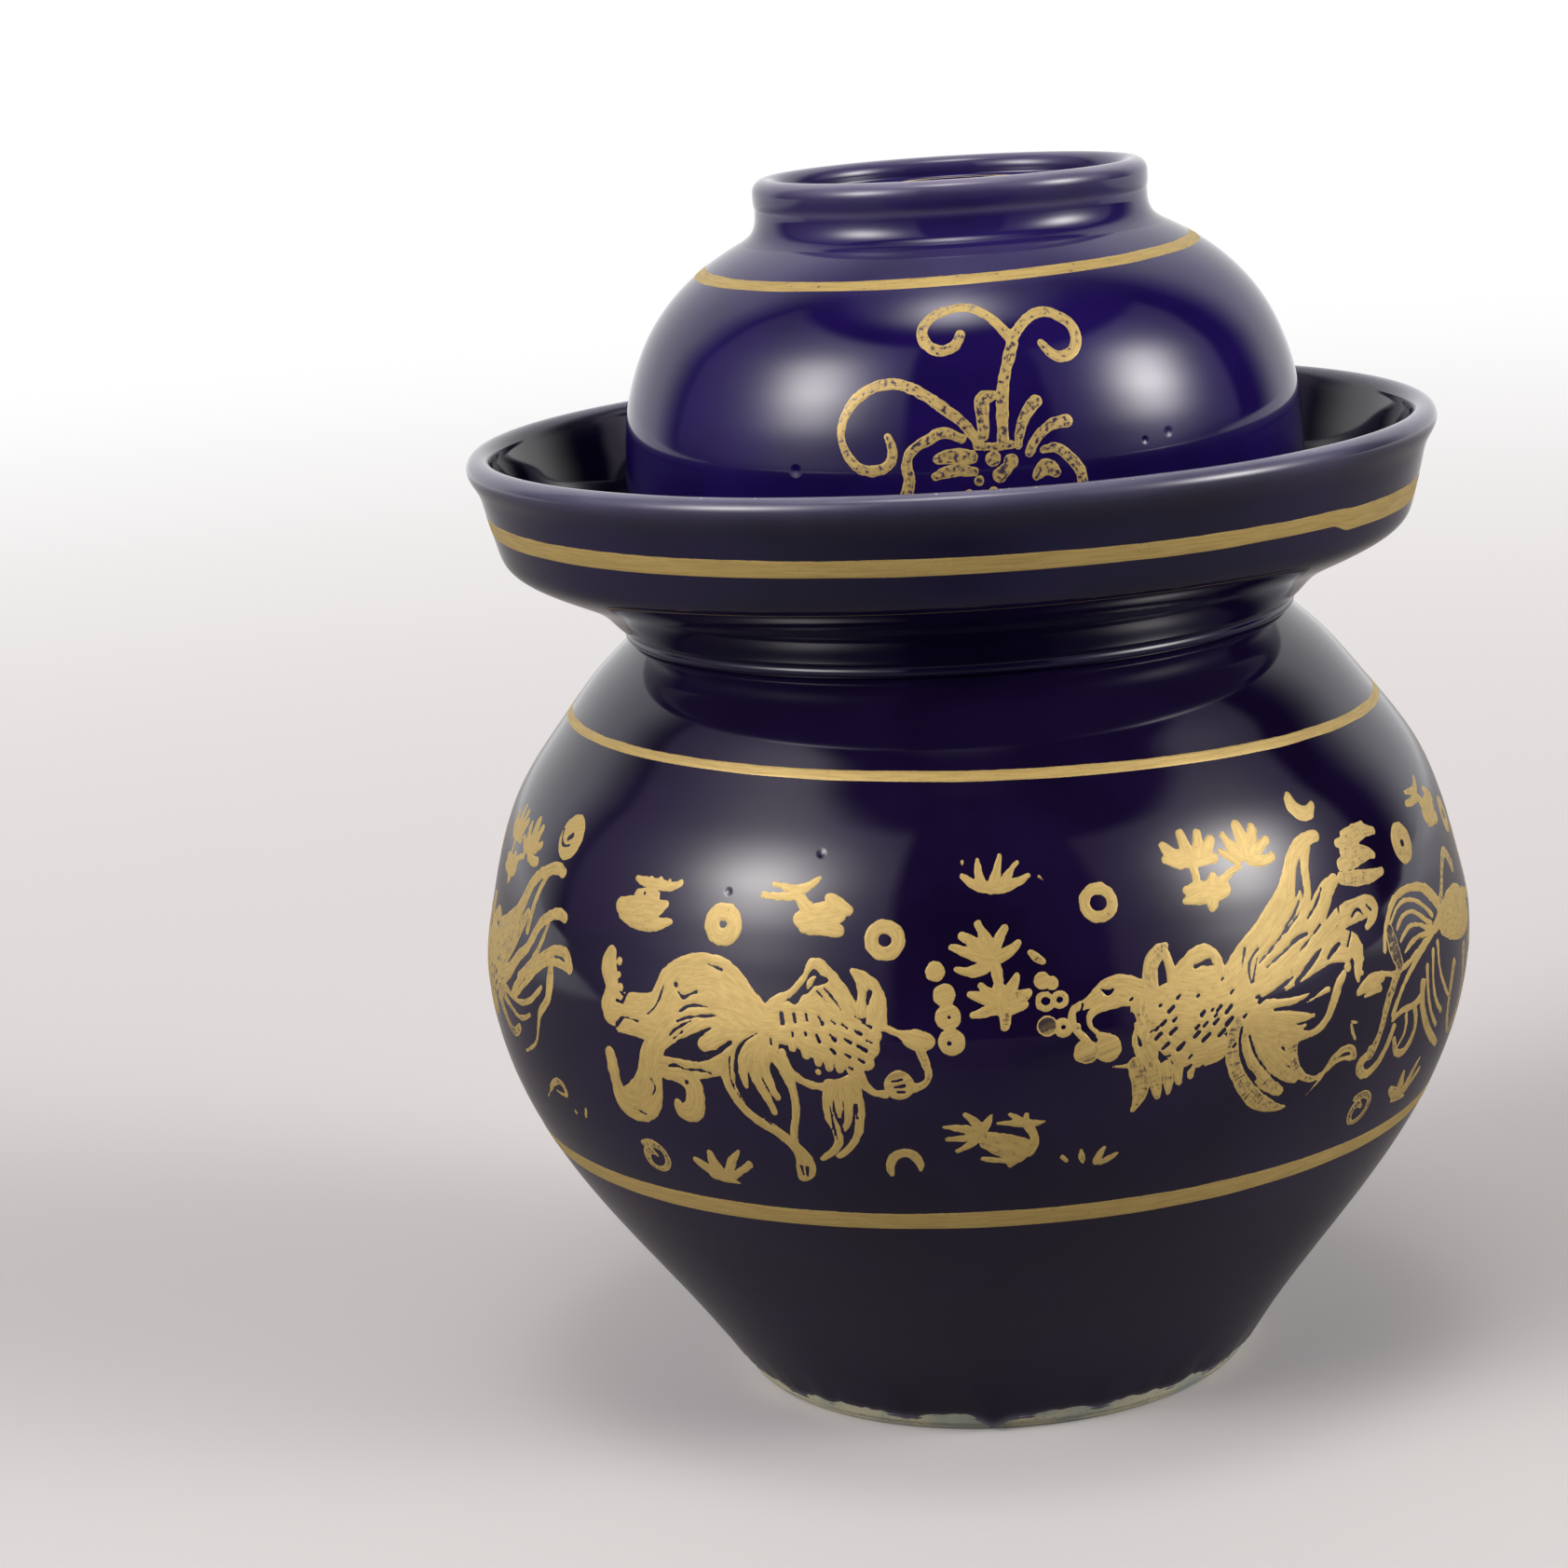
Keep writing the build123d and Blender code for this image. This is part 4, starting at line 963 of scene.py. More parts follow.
LEFT_MARKS = [(40.9, 73, 0.6), (38.9, 70.7, 0.9), (37, 68.3, 0.8), (39.5, 68.6, 0.7), (38.9, 66.4, 1.0),
              (35.7, 65.8, 1.0), (34.2, 66.9, 0.4), (37, 63.6, 1.0), (35.4, 67.3, 0.5), (40.4, 63, 1.1),
              (45.1, 72.5, 0.35), (45.7, 68.9, 0.7), (47.9, 69.3, 0.3), (49.5, 69.3, 0.8), (48.5, 68, 0.4),
              (51.6, 68.8, 1.1), (51.5, 66.4, 1.2), (48.5, 66.8, 0.8), (46, 66.6, 0.7), (44.2, 66.4, 0.6),
              (46, 64, 1.3), (44, 64.9, 0.9), (49.5, 64.3, 1.0), (52.9, 72.1, 0.6), (30.7, 73.8, 0.5),
              (42.3, 60.5, 0.5), (42, 58.3, 0.9), (44.8, 57.9, 0.6), (51, 74.9, 0.3), (36.7, 71.8, 0.3),
              (55.2, 66.8, 0.5), (52.4, 61.2, 0.5)]
LINES_LEFT = [
    [(24.6, 76.6, 0.15), (26.2, 75.7, 0.4), (27.2, 76.1, 0.15)],
    [(20.6, 73.9, 0.1), (20.3, 72.4, 0.25), (19.9, 70.9, 0.3)], [(36, 61.4, 0.12), (37.8, 61.4, 0.25)],
    [(30.6, 71.4, 0.1), (30.9, 69.6, 0.3)], [(31.3, 66.4, 0.1), (31.8, 64.4, 0.26)]]
BODY_GAPS_LEFT = [scale_mark(u, v, size, -0.75) for u, v, size in LEFT_MARKS] + LINES_LEFT
TAIL_GAPS_LEFT = [
    [(59, 68.9, 0.35), (62, 69.9, 0.3), (65.7, 71.2, 0.25), (68, 72.2, 0.15)],
    [(68.6, 70.8, 0.3), (71.9, 73, 0.45), (74.6, 74.7, 0.4), (76.9, 76.2, 0.25)],
    [(78.4, 74, 0.2), (80.7, 75.4, 0.4), (82.4, 76.1, 0.3)],
    [(69.4, 78.9, 0.3), (71.6, 79.6, 0.4), (73.8, 79.9, 0.25)],
    [(62.4, 66.7, 0.15), (68, 66.5, 0.35), (74, 68.3, 0.6), (80.6, 71.2, 0.8)],
    [(45.4, 78.3, 0.35), (47, 78.6, 0.15), (49.4, 78.1, 0.2)],
    [(84.2, 82.2, 0.15), (84.6, 85.2, 0.4), (84.9, 86.7, 0.3)],
    [(57.6, 73, 0.1), (57.9, 76.8, 0.2), (60.6, 79.4, 0.1)],
    [(68.4, 82.4, 0.12), (71.9, 84.9, 0.22), (73.5, 86.8, 0.12)],
    [(60, 76.4, 0.08), (66, 80.2, 0.16), (70, 83.4, 0.08)],
    [(75, 83, 0.15), (78.4, 85.6, 0.25), (80.6, 88, 0.15)],
    [(88, 80.6, 0.2), (90.4, 81.6, 0.35), (91.6, 80.4, 0.15)], [(93.6, 81.8, 0.3), (94.6, 80.6, 0.2)],
    [(86.6, 77.6, 0.1), (84.8, 75.2, 0.2)], [(56, 76.5, 0.1), (57.4, 80, 0.15)],
    [(60, 77.6, 0.1), (58, 73.2, 0.15)], [(37.6, 79.4, 0.15), (38, 77, 0.2)],
    [(54.2, 64.5, 0.1), (53.6, 61.4, 0.3), (54.4, 57.4, 0.3), (57.6, 53, 0.2)],
    [(56, 62.4, 0.15), (57.2, 58.6, 0.2), (60, 54.6, 0.15)], [(66, 80, 0.1), (73, 84.4, 0.15)],
    [(62, 75.4, 0.1), (70, 79, 0.15)], [(70, 76.2, 0.1), (78, 81, 0.15)]]

# The fish ahead, whose tail shows at the photograph's left edge
AHEAD_STROKES = [
    ([(-107.3, 95.1, 1.2), (-110, 95.6, 1.5), (-114.3, 94.6, 1.5), (-118.6, 92.8, 1.5), (-122.9, 88.7, 1.7),
      (-125.7, 84.4, 2.1), (-131.4, 79.4, 3.2), (-138, 75.6, 4.2)], 0.8),
    ([(-114.3, 93.7, 0.9), (-117.1, 89.4, 1.0), (-118.9, 85.1, 1.0), (-120, 80.5, 1.1)], 0.8),
    ([(-121, 84, 1.2), (-125, 80, 2.0), (-131, 75, 3.4), (-138, 71, 4.0)], 0.7),
    ([(-103.4, 86.2, 1.3), (-105.7, 86.6, 1.4), (-110, 85.4, 1.3), (-113.6, 83.2, 1.3), (-116.4, 80.1, 1.3),
      (-118.6, 77.3, 1.3), (-122.9, 74.4, 1.5), (-127.1, 70.9, 1.8), (-133, 68, 2.6)], 0.8),
    ([(-110, 83.7, 0.6), (-111.4, 80.9, 0.7), (-113.6, 77.3, 0.8), (-117.1, 73.7, 0.8),
      (-122, 70.4, 0.8)], 0.8),
    ([(-99.2, 76.2, 1.3), (-100.7, 78.6, 1.3), (-104.3, 79.2, 1.2), (-108.6, 77.8, 1.2),
      (-112.9, 75.1, 1.4), (-117.1, 72.3, 1.2), (-121.4, 69.4, 1.1), (-125.7, 65.5, 1.0)], 0.8),
    ([(-100.7, 76.2, 1.0), (-105, 76.5, 1.0), (-110, 75.3, 1.0), (-114.3, 72.3, 0.9), (-120, 68, 0.8),
      (-124.3, 65.1, 0.8)], 0.8),
    ([(-106.8, 75.1, 1.2), (-106.4, 70.9, 1.5), (-107.1, 68, 1.2), (-110, 65.1, 1.1), (-111.4, 62.3, 0.7),
      (-113.6, 58, 0.5), (-116.4, 55.9, 0.5), (-121.4, 53.7, 0.5)], 0.8),
    ([(-110, 70.1, 0.7), (-113.6, 67.3, 0.8), (-118.6, 65.1, 0.8), (-126.4, 65.1, 0.8),
      (-134, 66.4, 1.6)], 0.75),
    ([(-115.7, 63, 0.6), (-121.4, 61.2, 0.7), (-127.1, 62.3, 0.8), (-134, 64.6, 1.6)], 0.6),
    ([(-122.9, 58.7, 1.0), (-127.9, 56.6, 1.2), (-132, 58.4, 1.2), (-136, 62.4, 2.0)], 0.6)]

# Weeds, flowers, bubbles and dabs round the fish
BUBBLES_RIGHT_UP = [([(-8.7, 82.3, 2.1)], 0.95), ([(-7, 77.6, 2.4)], 0.9), ([(-6.4, 73.2, 2.7)], 0.85),
                    ([(-5.9, 68.3, 2.8)], 0.8)]
BUBBLES_THIN = [([(10.9, 85, 0.8), (12.2, 83.9, 1.0), (13.5, 83, 0.6)], 0.5), ([(12.9, 79.3, 1.9)], 0.7),
                ([(14.8, 78.7, 1.5)], 0.9), ring_dab(13.2, 75.2, 2.1, 0.9, 0.6),
                ring_dab(16.1, 75.3, 1.9, 0.6, 0.7), ([(13.2, 70.3, 2.2)], 0.05),
                ring_dab(16.3, 69.8, 2.0, 0.5, 0.9), ([(19, 69.5, 1.0)], 0.4)]
TWO_TIER_WEED = [
    ([(2.4, 83.3, 1.6), (-1, 82, 1.3), (-4.4, 82.6, 0.7)], 0.9),
    ([(2.4, 84.6, 1.8), (-1.5, 85.6, 1.4), (-5.1, 86.9, 0.8)], 0.95),
    ([(2.4, 85.6, 1.8), (-0.6, 87.6, 1.3), (-2.8, 89.1, 1.0)], 0.95),
    ([(3, 86, 1.6), (1.6, 89, 1.2), (0.5, 91.3, 0.9)], 0.95),
    ([(3.6, 86, 1.4), (5, 88.6, 1.1), (6, 90.1, 0.9)], 0.85),
    ([(4.6, 84.6, 1.5), (7, 85.8, 1.2), (8.5, 87.1, 0.8)], 0.8), ([(3.6, 82.6, 1.4), (4.1, 80, 1.2)], 0.95),
    ([(4.1, 78.4, 1.4), (4.4, 75, 2.2)], 0.9), ([(3.4, 76, 1.6), (0.6, 76.8, 1.3), (-1.9, 77.6, 0.8)], 0.8),
    ([(3.2, 74.6, 1.5), (0.6, 73.8, 1.1), (-1.5, 73.4, 0.8)], 0.8),
    ([(3.2, 77, 1.4), (1.5, 78, 1.0), (0.5, 79.1, 0.8)], 0.8),
    ([(5.6, 77, 1.6), (7, 79, 1.2), (7.8, 80.6, 0.8)], 0.75),
    ([(6, 76, 1.7), (8.4, 76.4, 1.5), (9.8, 77.2, 0.9)], 0.7),
    ([(5.6, 74.6, 1.7), (7.6, 74.6, 1.3), (9, 75, 0.9)], 0.75), ([(5, 73, 1.3), (4.8, 70.8, 1.0)], 0.5)]
LOTUS_BY_THE_TAIL = [
    ([(-80.6, 97.8, 0.8), (-77.6, 97.3, 1.2), (-73, 97.1, 1.3), (-70, 97.2, 1.1), (-67.8, 98, 0.8)], 0.9),
    ([(-76.4, 98, 0.9)], 1), ([(-73.6, 98, 0.9)], 1), ([(-71, 98.2, 0.7)], 1),
    ([(-79.4, 94.4, 1.4), (-76.4, 94.8, 1.4), (-74.2, 94.8, 1.3)], 0.9),
    ([(-84, 91.7, 1.9), (-80, 92, 2.5), (-76, 92.4, 2.7), (-73.4, 92.4, 2.0), (-71, 93.4, 1.0)], 0.9),
    ([(-83, 90.2, 1.6), (-78, 88.8, 1.6), (-72.6, 89.2, 1.4), (-69.2, 90, 0.9)], 0.8)]
LOTUS_SLANTED = [
    ([(-46.2, 97.1, 0.8), (-42.5, 97, 1.0), (-38.5, 97.1, 1.1)], 1),
    ([(-44, 99.4, 0.6), (-40.6, 98.8, 0.9), (-37, 98.8, 1.1), (-34.8, 99.9, 0.9), (-33.5, 101, 0.5)], 1),
    ([(-38, 97, 1.2), (-36, 95, 1.7)], 1), ([(-37, 92.6, 2.0), (-33, 93.2, 3.1), (-29.6, 94, 2.5)], 1),
    ([(-31, 96.9, 1.2), (-29.6, 95.6, 1.9), (-26.8, 94.6, 1.2)], 1),
    ([(-36.5, 90.8, 1.2), (-32.6, 91, 1.7), (-29, 90.6, 1.5)], 1)]
LOTUS_HIGH = [
    ([(-2.3, 101, 0.6), (0, 99.3, 1.1), (4, 98.3, 1.4), (8.5, 98.8, 1.2), (11.8, 100.2, 0.7)], 0.85),
    ([(1.6, 99.5, 1.3), (1.2, 102, 0.9), (1.2, 104.1, 0.5)], 0.95),
    ([(4.6, 99.5, 1.4), (5.3, 102, 0.9), (6.1, 104.7, 0.5)], 0.95),
    ([(7, 99.5, 1.3), (8.3, 101.5, 0.8), (9.8, 103.1, 0.5)], 0.9),
    ([(-2.1, 103.9, 0.5), (-2.2, 103.3, 0.3)], 0.9), ([(14.2, 99.8, 0.35), (14.9, 99.2, 0.3)], 0.9),
    ([(-4.2, 102.8, 0.3)], 0.6)]
LOTUS_TWIN = [
    ([(43, 103.1, 1.0), (45, 100.6, 1.8), (48, 99.6, 2.0)], 1), ([(42.8, 100.1, 1.0), (46, 98.9, 1.4)], 1),
    ([(47.9, 105, 1.1), (48.2, 102, 1.6), (48.6, 100, 1.8)], 1),
    ([(52, 104.5, 1.1), (51.3, 102, 1.5), (50.6, 100, 1.8)], 1),
    ([(54.8, 102.8, 1.2), (53, 100.6, 1.7)], 1), ([(50, 98.9, 1.3), (54.4, 98.9, 1.2)], 1),
    ([(49, 98.5, 1.1), (49, 95.4, 1.0)], 1), ([(58.2, 103, 1.0), (59.5, 100.5, 1.4), (61.5, 98.6, 1.7)], 1),
    ([(62.5, 104.3, 1.5), (62.7, 101.5, 1.8), (62.5, 98.6, 1.8)], 1),
    ([(66.3, 103.3, 1.3), (65.3, 101, 1.5), (64, 98.6, 1.7)], 1),
    ([(69, 100.3, 1.0), (66.5, 99.1, 1.4)], 1), ([(69, 96.7, 1.2), (66, 96.4, 1.3), (63.5, 97.3, 1.6)], 1),
    ([(56.4, 99.8, 0.9), (58.5, 98.3, 1.0), (60, 97, 0.9)], 1),
    ([(45.4, 91.4, 0.8), (48, 92, 1.8), (51.5, 92.4, 2.5), (55, 92.5, 1.8)], 1),
    ([(46.4, 93.4, 1.2), (49.4, 93.6, 1.6)], 1), ([(53, 95, 1.2), (52.5, 93, 1.8)], 1),
    ([(55, 94, 1.3), (57.4, 95.4, 0.9), (60, 96.2, 0.8)], 1), ([(51.6, 90.2, 1.6), (51.2, 89, 0.8)], 1)]
LOTUS_THIN = [
    ([(89.4, 95.8, 1.0), (94, 95.6, 1.8), (99, 96.4, 1.6), (103.4, 95.6, 0.9)], 0.65),
    ([(92, 97.2, 0.9), (96.4, 97.7, 0.9), (100, 97.8, 0.8)], 0.75),
    ([(90.4, 93.7, 1.2), (95, 94, 1.3)], 0.65),
    ([(88.6, 91.4, 1.5), (93, 91.8, 2.2), (98, 92, 1.7), (100.6, 91, 0.9)], 0.65),
    ([(87.6, 88.7, 1.5), (93, 87.7, 1.8), (98, 87.2, 1.5), (102, 87.2, 1.0)], 0.65)]
FAN_BY_THE_LINE = [
    ([(-59.6, 36, 1.5), (-61.5, 38.8, 1.5), (-61.7, 41.4, 0.9)], 0.85),
    ([(-58.5, 36, 1.2), (-57, 39.4, 1.2), (-54.2, 42.8, 0.5)], 0.85),
    ([(-57, 36.3, 1.1), (-54.6, 38, 1.0), (-52.4, 39.7, 1.0)], 0.85),
    ([(-60, 36, 1.5), (-63.6, 37.2, 1.5), (-66.2, 39, 1.0)], 0.85),
    ([(-63, 35.6, 1.0), (-59.6, 35, 1.0), (-56.4, 34.4, 0.4)], 0.7)]
WEED_AT_THE_MIDDLE = [
    ([(-1.5, 48.6, 1.3), (-5, 50, 1.0), (-8.7, 50.4, 0.5)], 0.75),
    ([(-1.5, 48.4, 1.2), (-4.6, 47.8, 0.9), (-8, 47.6, 0.6)], 0.75),
    ([(-1.4, 48, 1.2), (-3.6, 46.2, 0.9), (-6.2, 44.8, 0.5)], 0.75),
    ([(-1, 49.5, 1.3), (-2.5, 51.6, 1.0), (-4.1, 53, 0.6)], 0.75),
    ([(-0.5, 49.5, 1.1), (0.5, 51.5, 0.8), (1.2, 52.7, 0.4)], 0.75),
    ([(-0.4, 46.4, 1.3), (3, 44.8, 2.0), (6.2, 43.4, 2.1)], 0.75),
    ([(0.6, 48.2, 1.0), (4, 47.2, 1.2), (7, 45.4, 1.9)], 0.75),
    ([(8.4, 44, 1.6), (9.7, 46.4, 1.0), (8.6, 49.5, 1.1)], 0.75), ([(5, 42, 1.4), (4.5, 40.8, 0.8)], 0.75),
    ([(4.6, 42, 1.0), (2, 42.2, 0.8), (-1, 42.7, 0.7)], 0.75),
    ([(2.4, 50.8, 0.4), (6, 50.6, 0.9), (9.5, 50.3, 0.9), (11.9, 50.5, 0.25)], 0.75),
    ([(4.9, 52.6, 0.6), (6.9, 51.2, 0.9)], 0.75), ([(8.1, 52.2, 0.7), (8, 51, 0.8)], 0.75)]
DABS_LOW_RIGHT = [
    ([(15.3, 41.8, 0.6), (16.3, 40.7, 0.6)], 0.8),
    ([(19.3, 42.9, 0.6), (19.5, 41, 0.8), (19.7, 39.8, 0.4)], 0.7),
    ([(24.1, 42.9, 0.5), (23, 41, 0.9), (22.6, 39.8, 0.9)], 0.7),
    ([(27, 41.3, 0.4), (25.3, 40.3, 0.8), (23.5, 39.5, 0.8)], 0.7), ([(28.2, 38.6, 0.25)], 0.5)]
ARCH = [([(-20.3, 39.3, 0.7), (-20.4, 41.6, 1.1), (-18.7, 44, 1.15), (-16.4, 44.5, 1.1), (-14.4, 42.9, 1.1),
          (-14.1, 40.3, 0.5)], 0.7)]
RAGGED_RING = [([(-80.6, 40.8, 1.0), (-77.5, 41, 1.1), (-75.2, 39.6, 0.9), (-75.1, 36.6, 0.9),
                 (-77.4, 34.7, 0.8), (-80.2, 35, 0.8), (-81, 37.6, 1.1), (-79.6, 39.2, 1.2),
                 (-77.6, 38, 0.5)], 0.45)]
CRESCENT = [([(80.4, 108.2, 1.0), (80, 106, 1.9), (81.6, 104, 1.9), (84.2, 103.6, 1.6), (86.2, 105, 0.9)], 1)]
LEAF_BY_THE_TAIL = [([(86, 65.2, 0.9), (90, 66.4, 1.7), (94, 66.6, 1.3)], 0.85),
                    ([(88, 63.9, 0.6), (93, 64.4, 0.9)], 0.85)]
TICKS = [([(83.3, 59.7, 0.4), (85.6, 58.8, 0.35)], 0.7),
         ([(83.4, 59, 0.4), (84.2, 56.8, 0.5), (85, 55.4, 0.35)], 0.6)]
COMMA = [([(-119, 42.5, 0.2), (-113.4, 46.2, 0.5), (-109.4, 49.2, 0.9), (-105.6, 49.4, 0.8),
           (-105, 47.7, 0.7), (-109.5, 47.2, 0.4)], 0.5),
         ([(-103.6, 43.4, 0.7)], 0.7), ([(-99.6, 43.2, 0.5), (-98.4, 45.2, 0.5)], 0.7)]

# The painted group: both fish with the weeds, flowers, bubbles and rings round them
RINGS = [ring_dab(-18.9, 88.7, 4.3, 1.4, 0.9), ring_dab(-55.4, 90.7, 4.6, 0.9, 1),
         ring_dab(26.2, 93.5, 4.2, 1.8, 0.8)]
BUBBLE_HOLES = [[(-6.2, 73.2, 0.22)], [(-6.4, 68.1, 0.35)]]
GROUP = [("goldfish_swimming_right", FISH_RIGHT, FISH_RIGHT_GAPS),
         ("goldfish_swimming_left", FISH_LEFT + TAIL_SWEPT_UP + TAIL_HANGING,
          BODY_GAPS_LEFT + TAIL_GAPS_LEFT),
         ("bubbles_full", BUBBLES_RIGHT_UP, BUBBLE_HOLES), ("bubbles_thin", BUBBLES_THIN, ()),
         ("weed_in_two_tiers", TWO_TIER_WEED, ()),
         ("lotus_by_the_tail", LOTUS_BY_THE_TAIL, [[(-77.6, 95, 0.3)]]),
         ("lotus_slanted", LOTUS_SLANTED, ()), ("lotus_high", LOTUS_HIGH, ()), ("lotus_twin", LOTUS_TWIN, ()),
         ("fan_by_the_line", FAN_BY_THE_LINE, ()), ("weed_at_the_middle", WEED_AT_THE_MIDDLE, ()),
         ("dabs_low", DABS_LOW_RIGHT, ()), ("arch_dab", ARCH, ()), ("ragged_ring", RAGGED_RING, ()),
         ("ring_dabs", RINGS, ())]
LEFT_DAB_MARKS = [
    [(-109.8, 102.2, 0.35), (-108.5, 103.1, 0.55)],
    [(-113.2, 103.6, 0.2), (-112.5, 101.7, 0.26), (-110.6, 100.6, 0.22), (-108.3, 101, 0.15)]]
ONCE_ONLY = [("crescent_dab", CRESCENT, ()), ("leaf_by_the_tail", LEAF_BY_THE_TAIL, ()),
             ("ticks_by_the_tail", TICKS, ()), ("comma_dab", COMMA, ()),
             ("ring_dab_left", [([(-108.8, 102.8, 5.2)], 0.92)], LEFT_DAB_MARKS),
             ("lotus_thin", LOTUS_THIN, ())]
for number, (name, strokes, gaps) in enumerate(GROUP + ONCE_ONLY):
    painted(name, belly_wall, strokes, gaps, seed=3 + number)

# The group again on its way round the jar, moved across and up, with a drier brush each time
TO_THE_RIGHT, BEHIND, TO_THE_LEFT = (169.3, 0), (331, 0.8), (-191, -1.6)
FISH_FOLLOWING = moved(FOLLOWING_STROKES, -TO_THE_RIGHT[0], 0)
TAIL_AHEAD = moved(AHEAD_STROKES, -TO_THE_LEFT[0], -TO_THE_LEFT[1])
for copy, (move, share) in enumerate([(TO_THE_RIGHT, 0.7), (BEHIND, 0.95), (TO_THE_LEFT, 0.8)]):
    for number, (name, strokes, gaps) in enumerate(GROUP):
        dry = thinner(strokes, share)
        if name == "lotus_by_the_tail" and move == TO_THE_RIGHT:
            continue
        if name == "goldfish_swimming_right" and move == TO_THE_RIGHT:
            dry, gaps = FISH_FOLLOWING, ()
        if name == "goldfish_swimming_left" and move == TO_THE_LEFT:
            dry, gaps = thinner(FISH_LEFT + TAIL_AHEAD, share), BODY_GAPS_LEFT
        painted("%s_%d" % (name, copy + 2), belly_wall, dry, gaps, move, 0.36, 40 + 20 * copy + number)

# Scroll on the lid, with the flower whose lower half the trough hides
SCROLL_STEMS = [
    ([(7.9, 19.5, 1.2), (8.2, 25, 1.3), (8.8, 30, 1.3), (10.2, 35, 1.25), (12, 39.4, 1.5)], 0.65),
    ([(12, 40.4, 1.5), (14.2, 42.8, 1.2), (17.5, 45.3, 1.25), (20.5, 46.2, 1.3), (24, 45, 1.3),
      (26.8, 42.2, 1.3), (27, 39, 1.3), (25, 36.4, 1.3), (22, 35.8, 1.2), (19.8, 37.4, 1.1),
      (18.6, 39, 0.9)], 0.75),
    ([(12, 40.4, 1.5), (9.6, 43.6, 1.2), (6.5, 46.7, 1.1), (2, 48.5, 1.1), (-3, 48, 1.1), (-7, 46, 1.2),
      (-8.5, 43, 1.3), (-7.2, 40.1, 1.25), (-4, 38.8, 1.2), (-1, 39.8, 1.2), (0.4, 42.2, 1.1)], 0.75),
    ([(3.9, 21, 1.2), (4, 25, 1.4), (4.4, 28.3, 1.6), (6.6, 28.9, 1.0)], 0.55),
    ([(3, 19.5, 1.1), (0.6, 22.8, 1.1), (-3.5, 26.5, 1.2), (-9, 30.3, 1.2), (-14.5, 32.3, 1.2),
      (-20, 31.3, 1.2), (-24.4, 27.5, 1.1), (-26, 23, 0.9), (-24.9, 18.5, 0.9), (-21.6, 15.3, 1.1),
      (-18, 15, 1.1), (-15.2, 17, 1.1), (-15, 19.4, 1.0), (-15.9, 21.5, 0.8)], 0.65),
    ([(2.6, 19, 0.9), (6, 18.6, 0.8), (9.6, 18.8, 0.9)], 0.5)]
FLOWER = [
    ([(-0.6, 20.6, 0.9), (-4.4, 22, 1.2), (-7.8, 20.6, 1.1), (-10.8, 18.8, 1.1), (-12.1, 15.8, 1.15),
      (-11.7, 12.8, 1.2), (-12.4, 10, 1.2)], 0.5),
    ([(-5.6, 16.8, 1.0), (-2.5, 17.2, 1.6), (1.2, 16.8, 1.4)], 0.55),
    ([(-6.2, 13.5, 0.9), (-2.5, 14.4, 1.3), (1.6, 14, 0.9)], 0.55), ([(5.7, 16.3, 1.6)], 0.5),
    ([(9.3, 15.5, 1.6)], 0.5), ([(8.7, 14.6, 1.2), (6.8, 12.9, 1.5)], 0.5), ([(2.6, 12, 1.0)], 0.5),
    ([(11, 18.6, 0.9), (12, 22.5, 1.1), (14, 25.8, 1.3), (15.4, 27, 1.4)], 0.5),
    ([(13.2, 17, 1.0), (15.5, 20.3, 1.1), (18.8, 22.3, 1.2), (21.6, 22.6, 1.4)], 0.5),
    ([(16.2, 17.3, 0.9), (19, 17.4, 1.1), (21.6, 15.4, 1.15), (23.7, 12.5, 1.2), (24.2, 9.6, 1.1)], 0.5),
    ([(14.4, 12.2, 0.9), (16.5, 13.8, 1.7), (18.6, 12.6, 1.0)], 0.5),
    ([(-12.4, 10, 1.2), (-11, 6.4, 1.1), (-8, 4.4, 1.0), (-5.2, 5.6, 0.9), (-4.8, 8.8, 0.9)], 0.5),
    ([(24.2, 9.6, 1.1), (22.6, 6, 1.1), (19.4, 4.2, 1.0), (16.6, 5.6, 0.9)], 0.5),
    ([(0.4, 9.6, 0.9), (1.6, 5.6, 1.1), (5.4, 3.2, 1.1), (9.6, 4.6, 1.0), (11.2, 8.6, 0.9)], 0.5),
    ([(5.4, 9.6, 1.1), (5.8, 6.6, 1.0)], 0.5), ([(13.6, 8.8, 1.0), (14.4, 5.2, 0.9)], 0.5)]

# The scroll three times round the lid, a little wider and drier than its strokes say
WIDER, DRIER = 0.12, 0.05
SCROLL = [([(u, v, w + WIDER) for u, v, w in points], load - DRIER) for points, load in SCROLL_STEMS + FLOWER]
for number, shift in enumerate((0, 157.1, 314.2)):
    painted("lid_scroll_%d" % (number + 1), lid_wall, SCROLL, (), (shift, 0), 0.3, 100 + number)


# The small flower in the recess of the foot ring, as (right, back, half width) from the lid's axis
PETALS = [
    [(-10, 13, 0.9), (-6, 23, 1.5), (1, 29.4, 1.9), (9, 28.6, 1.9), (12, 20, 1.6), (8, 11, 1.0)],
    [(9, 12, 0.9), (18, 13, 1.5), (26, 7, 1.8), (25, -2, 1.8), (17, -5, 1.4), (10, -3, 0.9)],
    [(10, -5, 0.9), (17, -13, 1.5), (13, -22, 1.8), (4, -25, 1.8), (-2, -18, 1.5), (-1, -10, 0.9)],
    [(-3, -9, 0.9), (-9, -17, 1.5), (-18, -18, 1.8), (-24, -10, 1.8), (-18, -3, 1.5), (-10, -1, 0.9)],
    [(-10, 1, 0.9), (-20, 2, 1.5), (-26, 9, 1.8), (-20, 16, 1.6), (-12, 12, 0.9)],
    [(-3.6, 0, 1.2), (-1.8, 3.4, 1.4), (2, 3.2, 1.4), (3.6, 0, 1.3), (1.6, -3.2, 1.3), (-2, -2.8, 1.2),
     (-3.6, 0.2, 1.2)]]


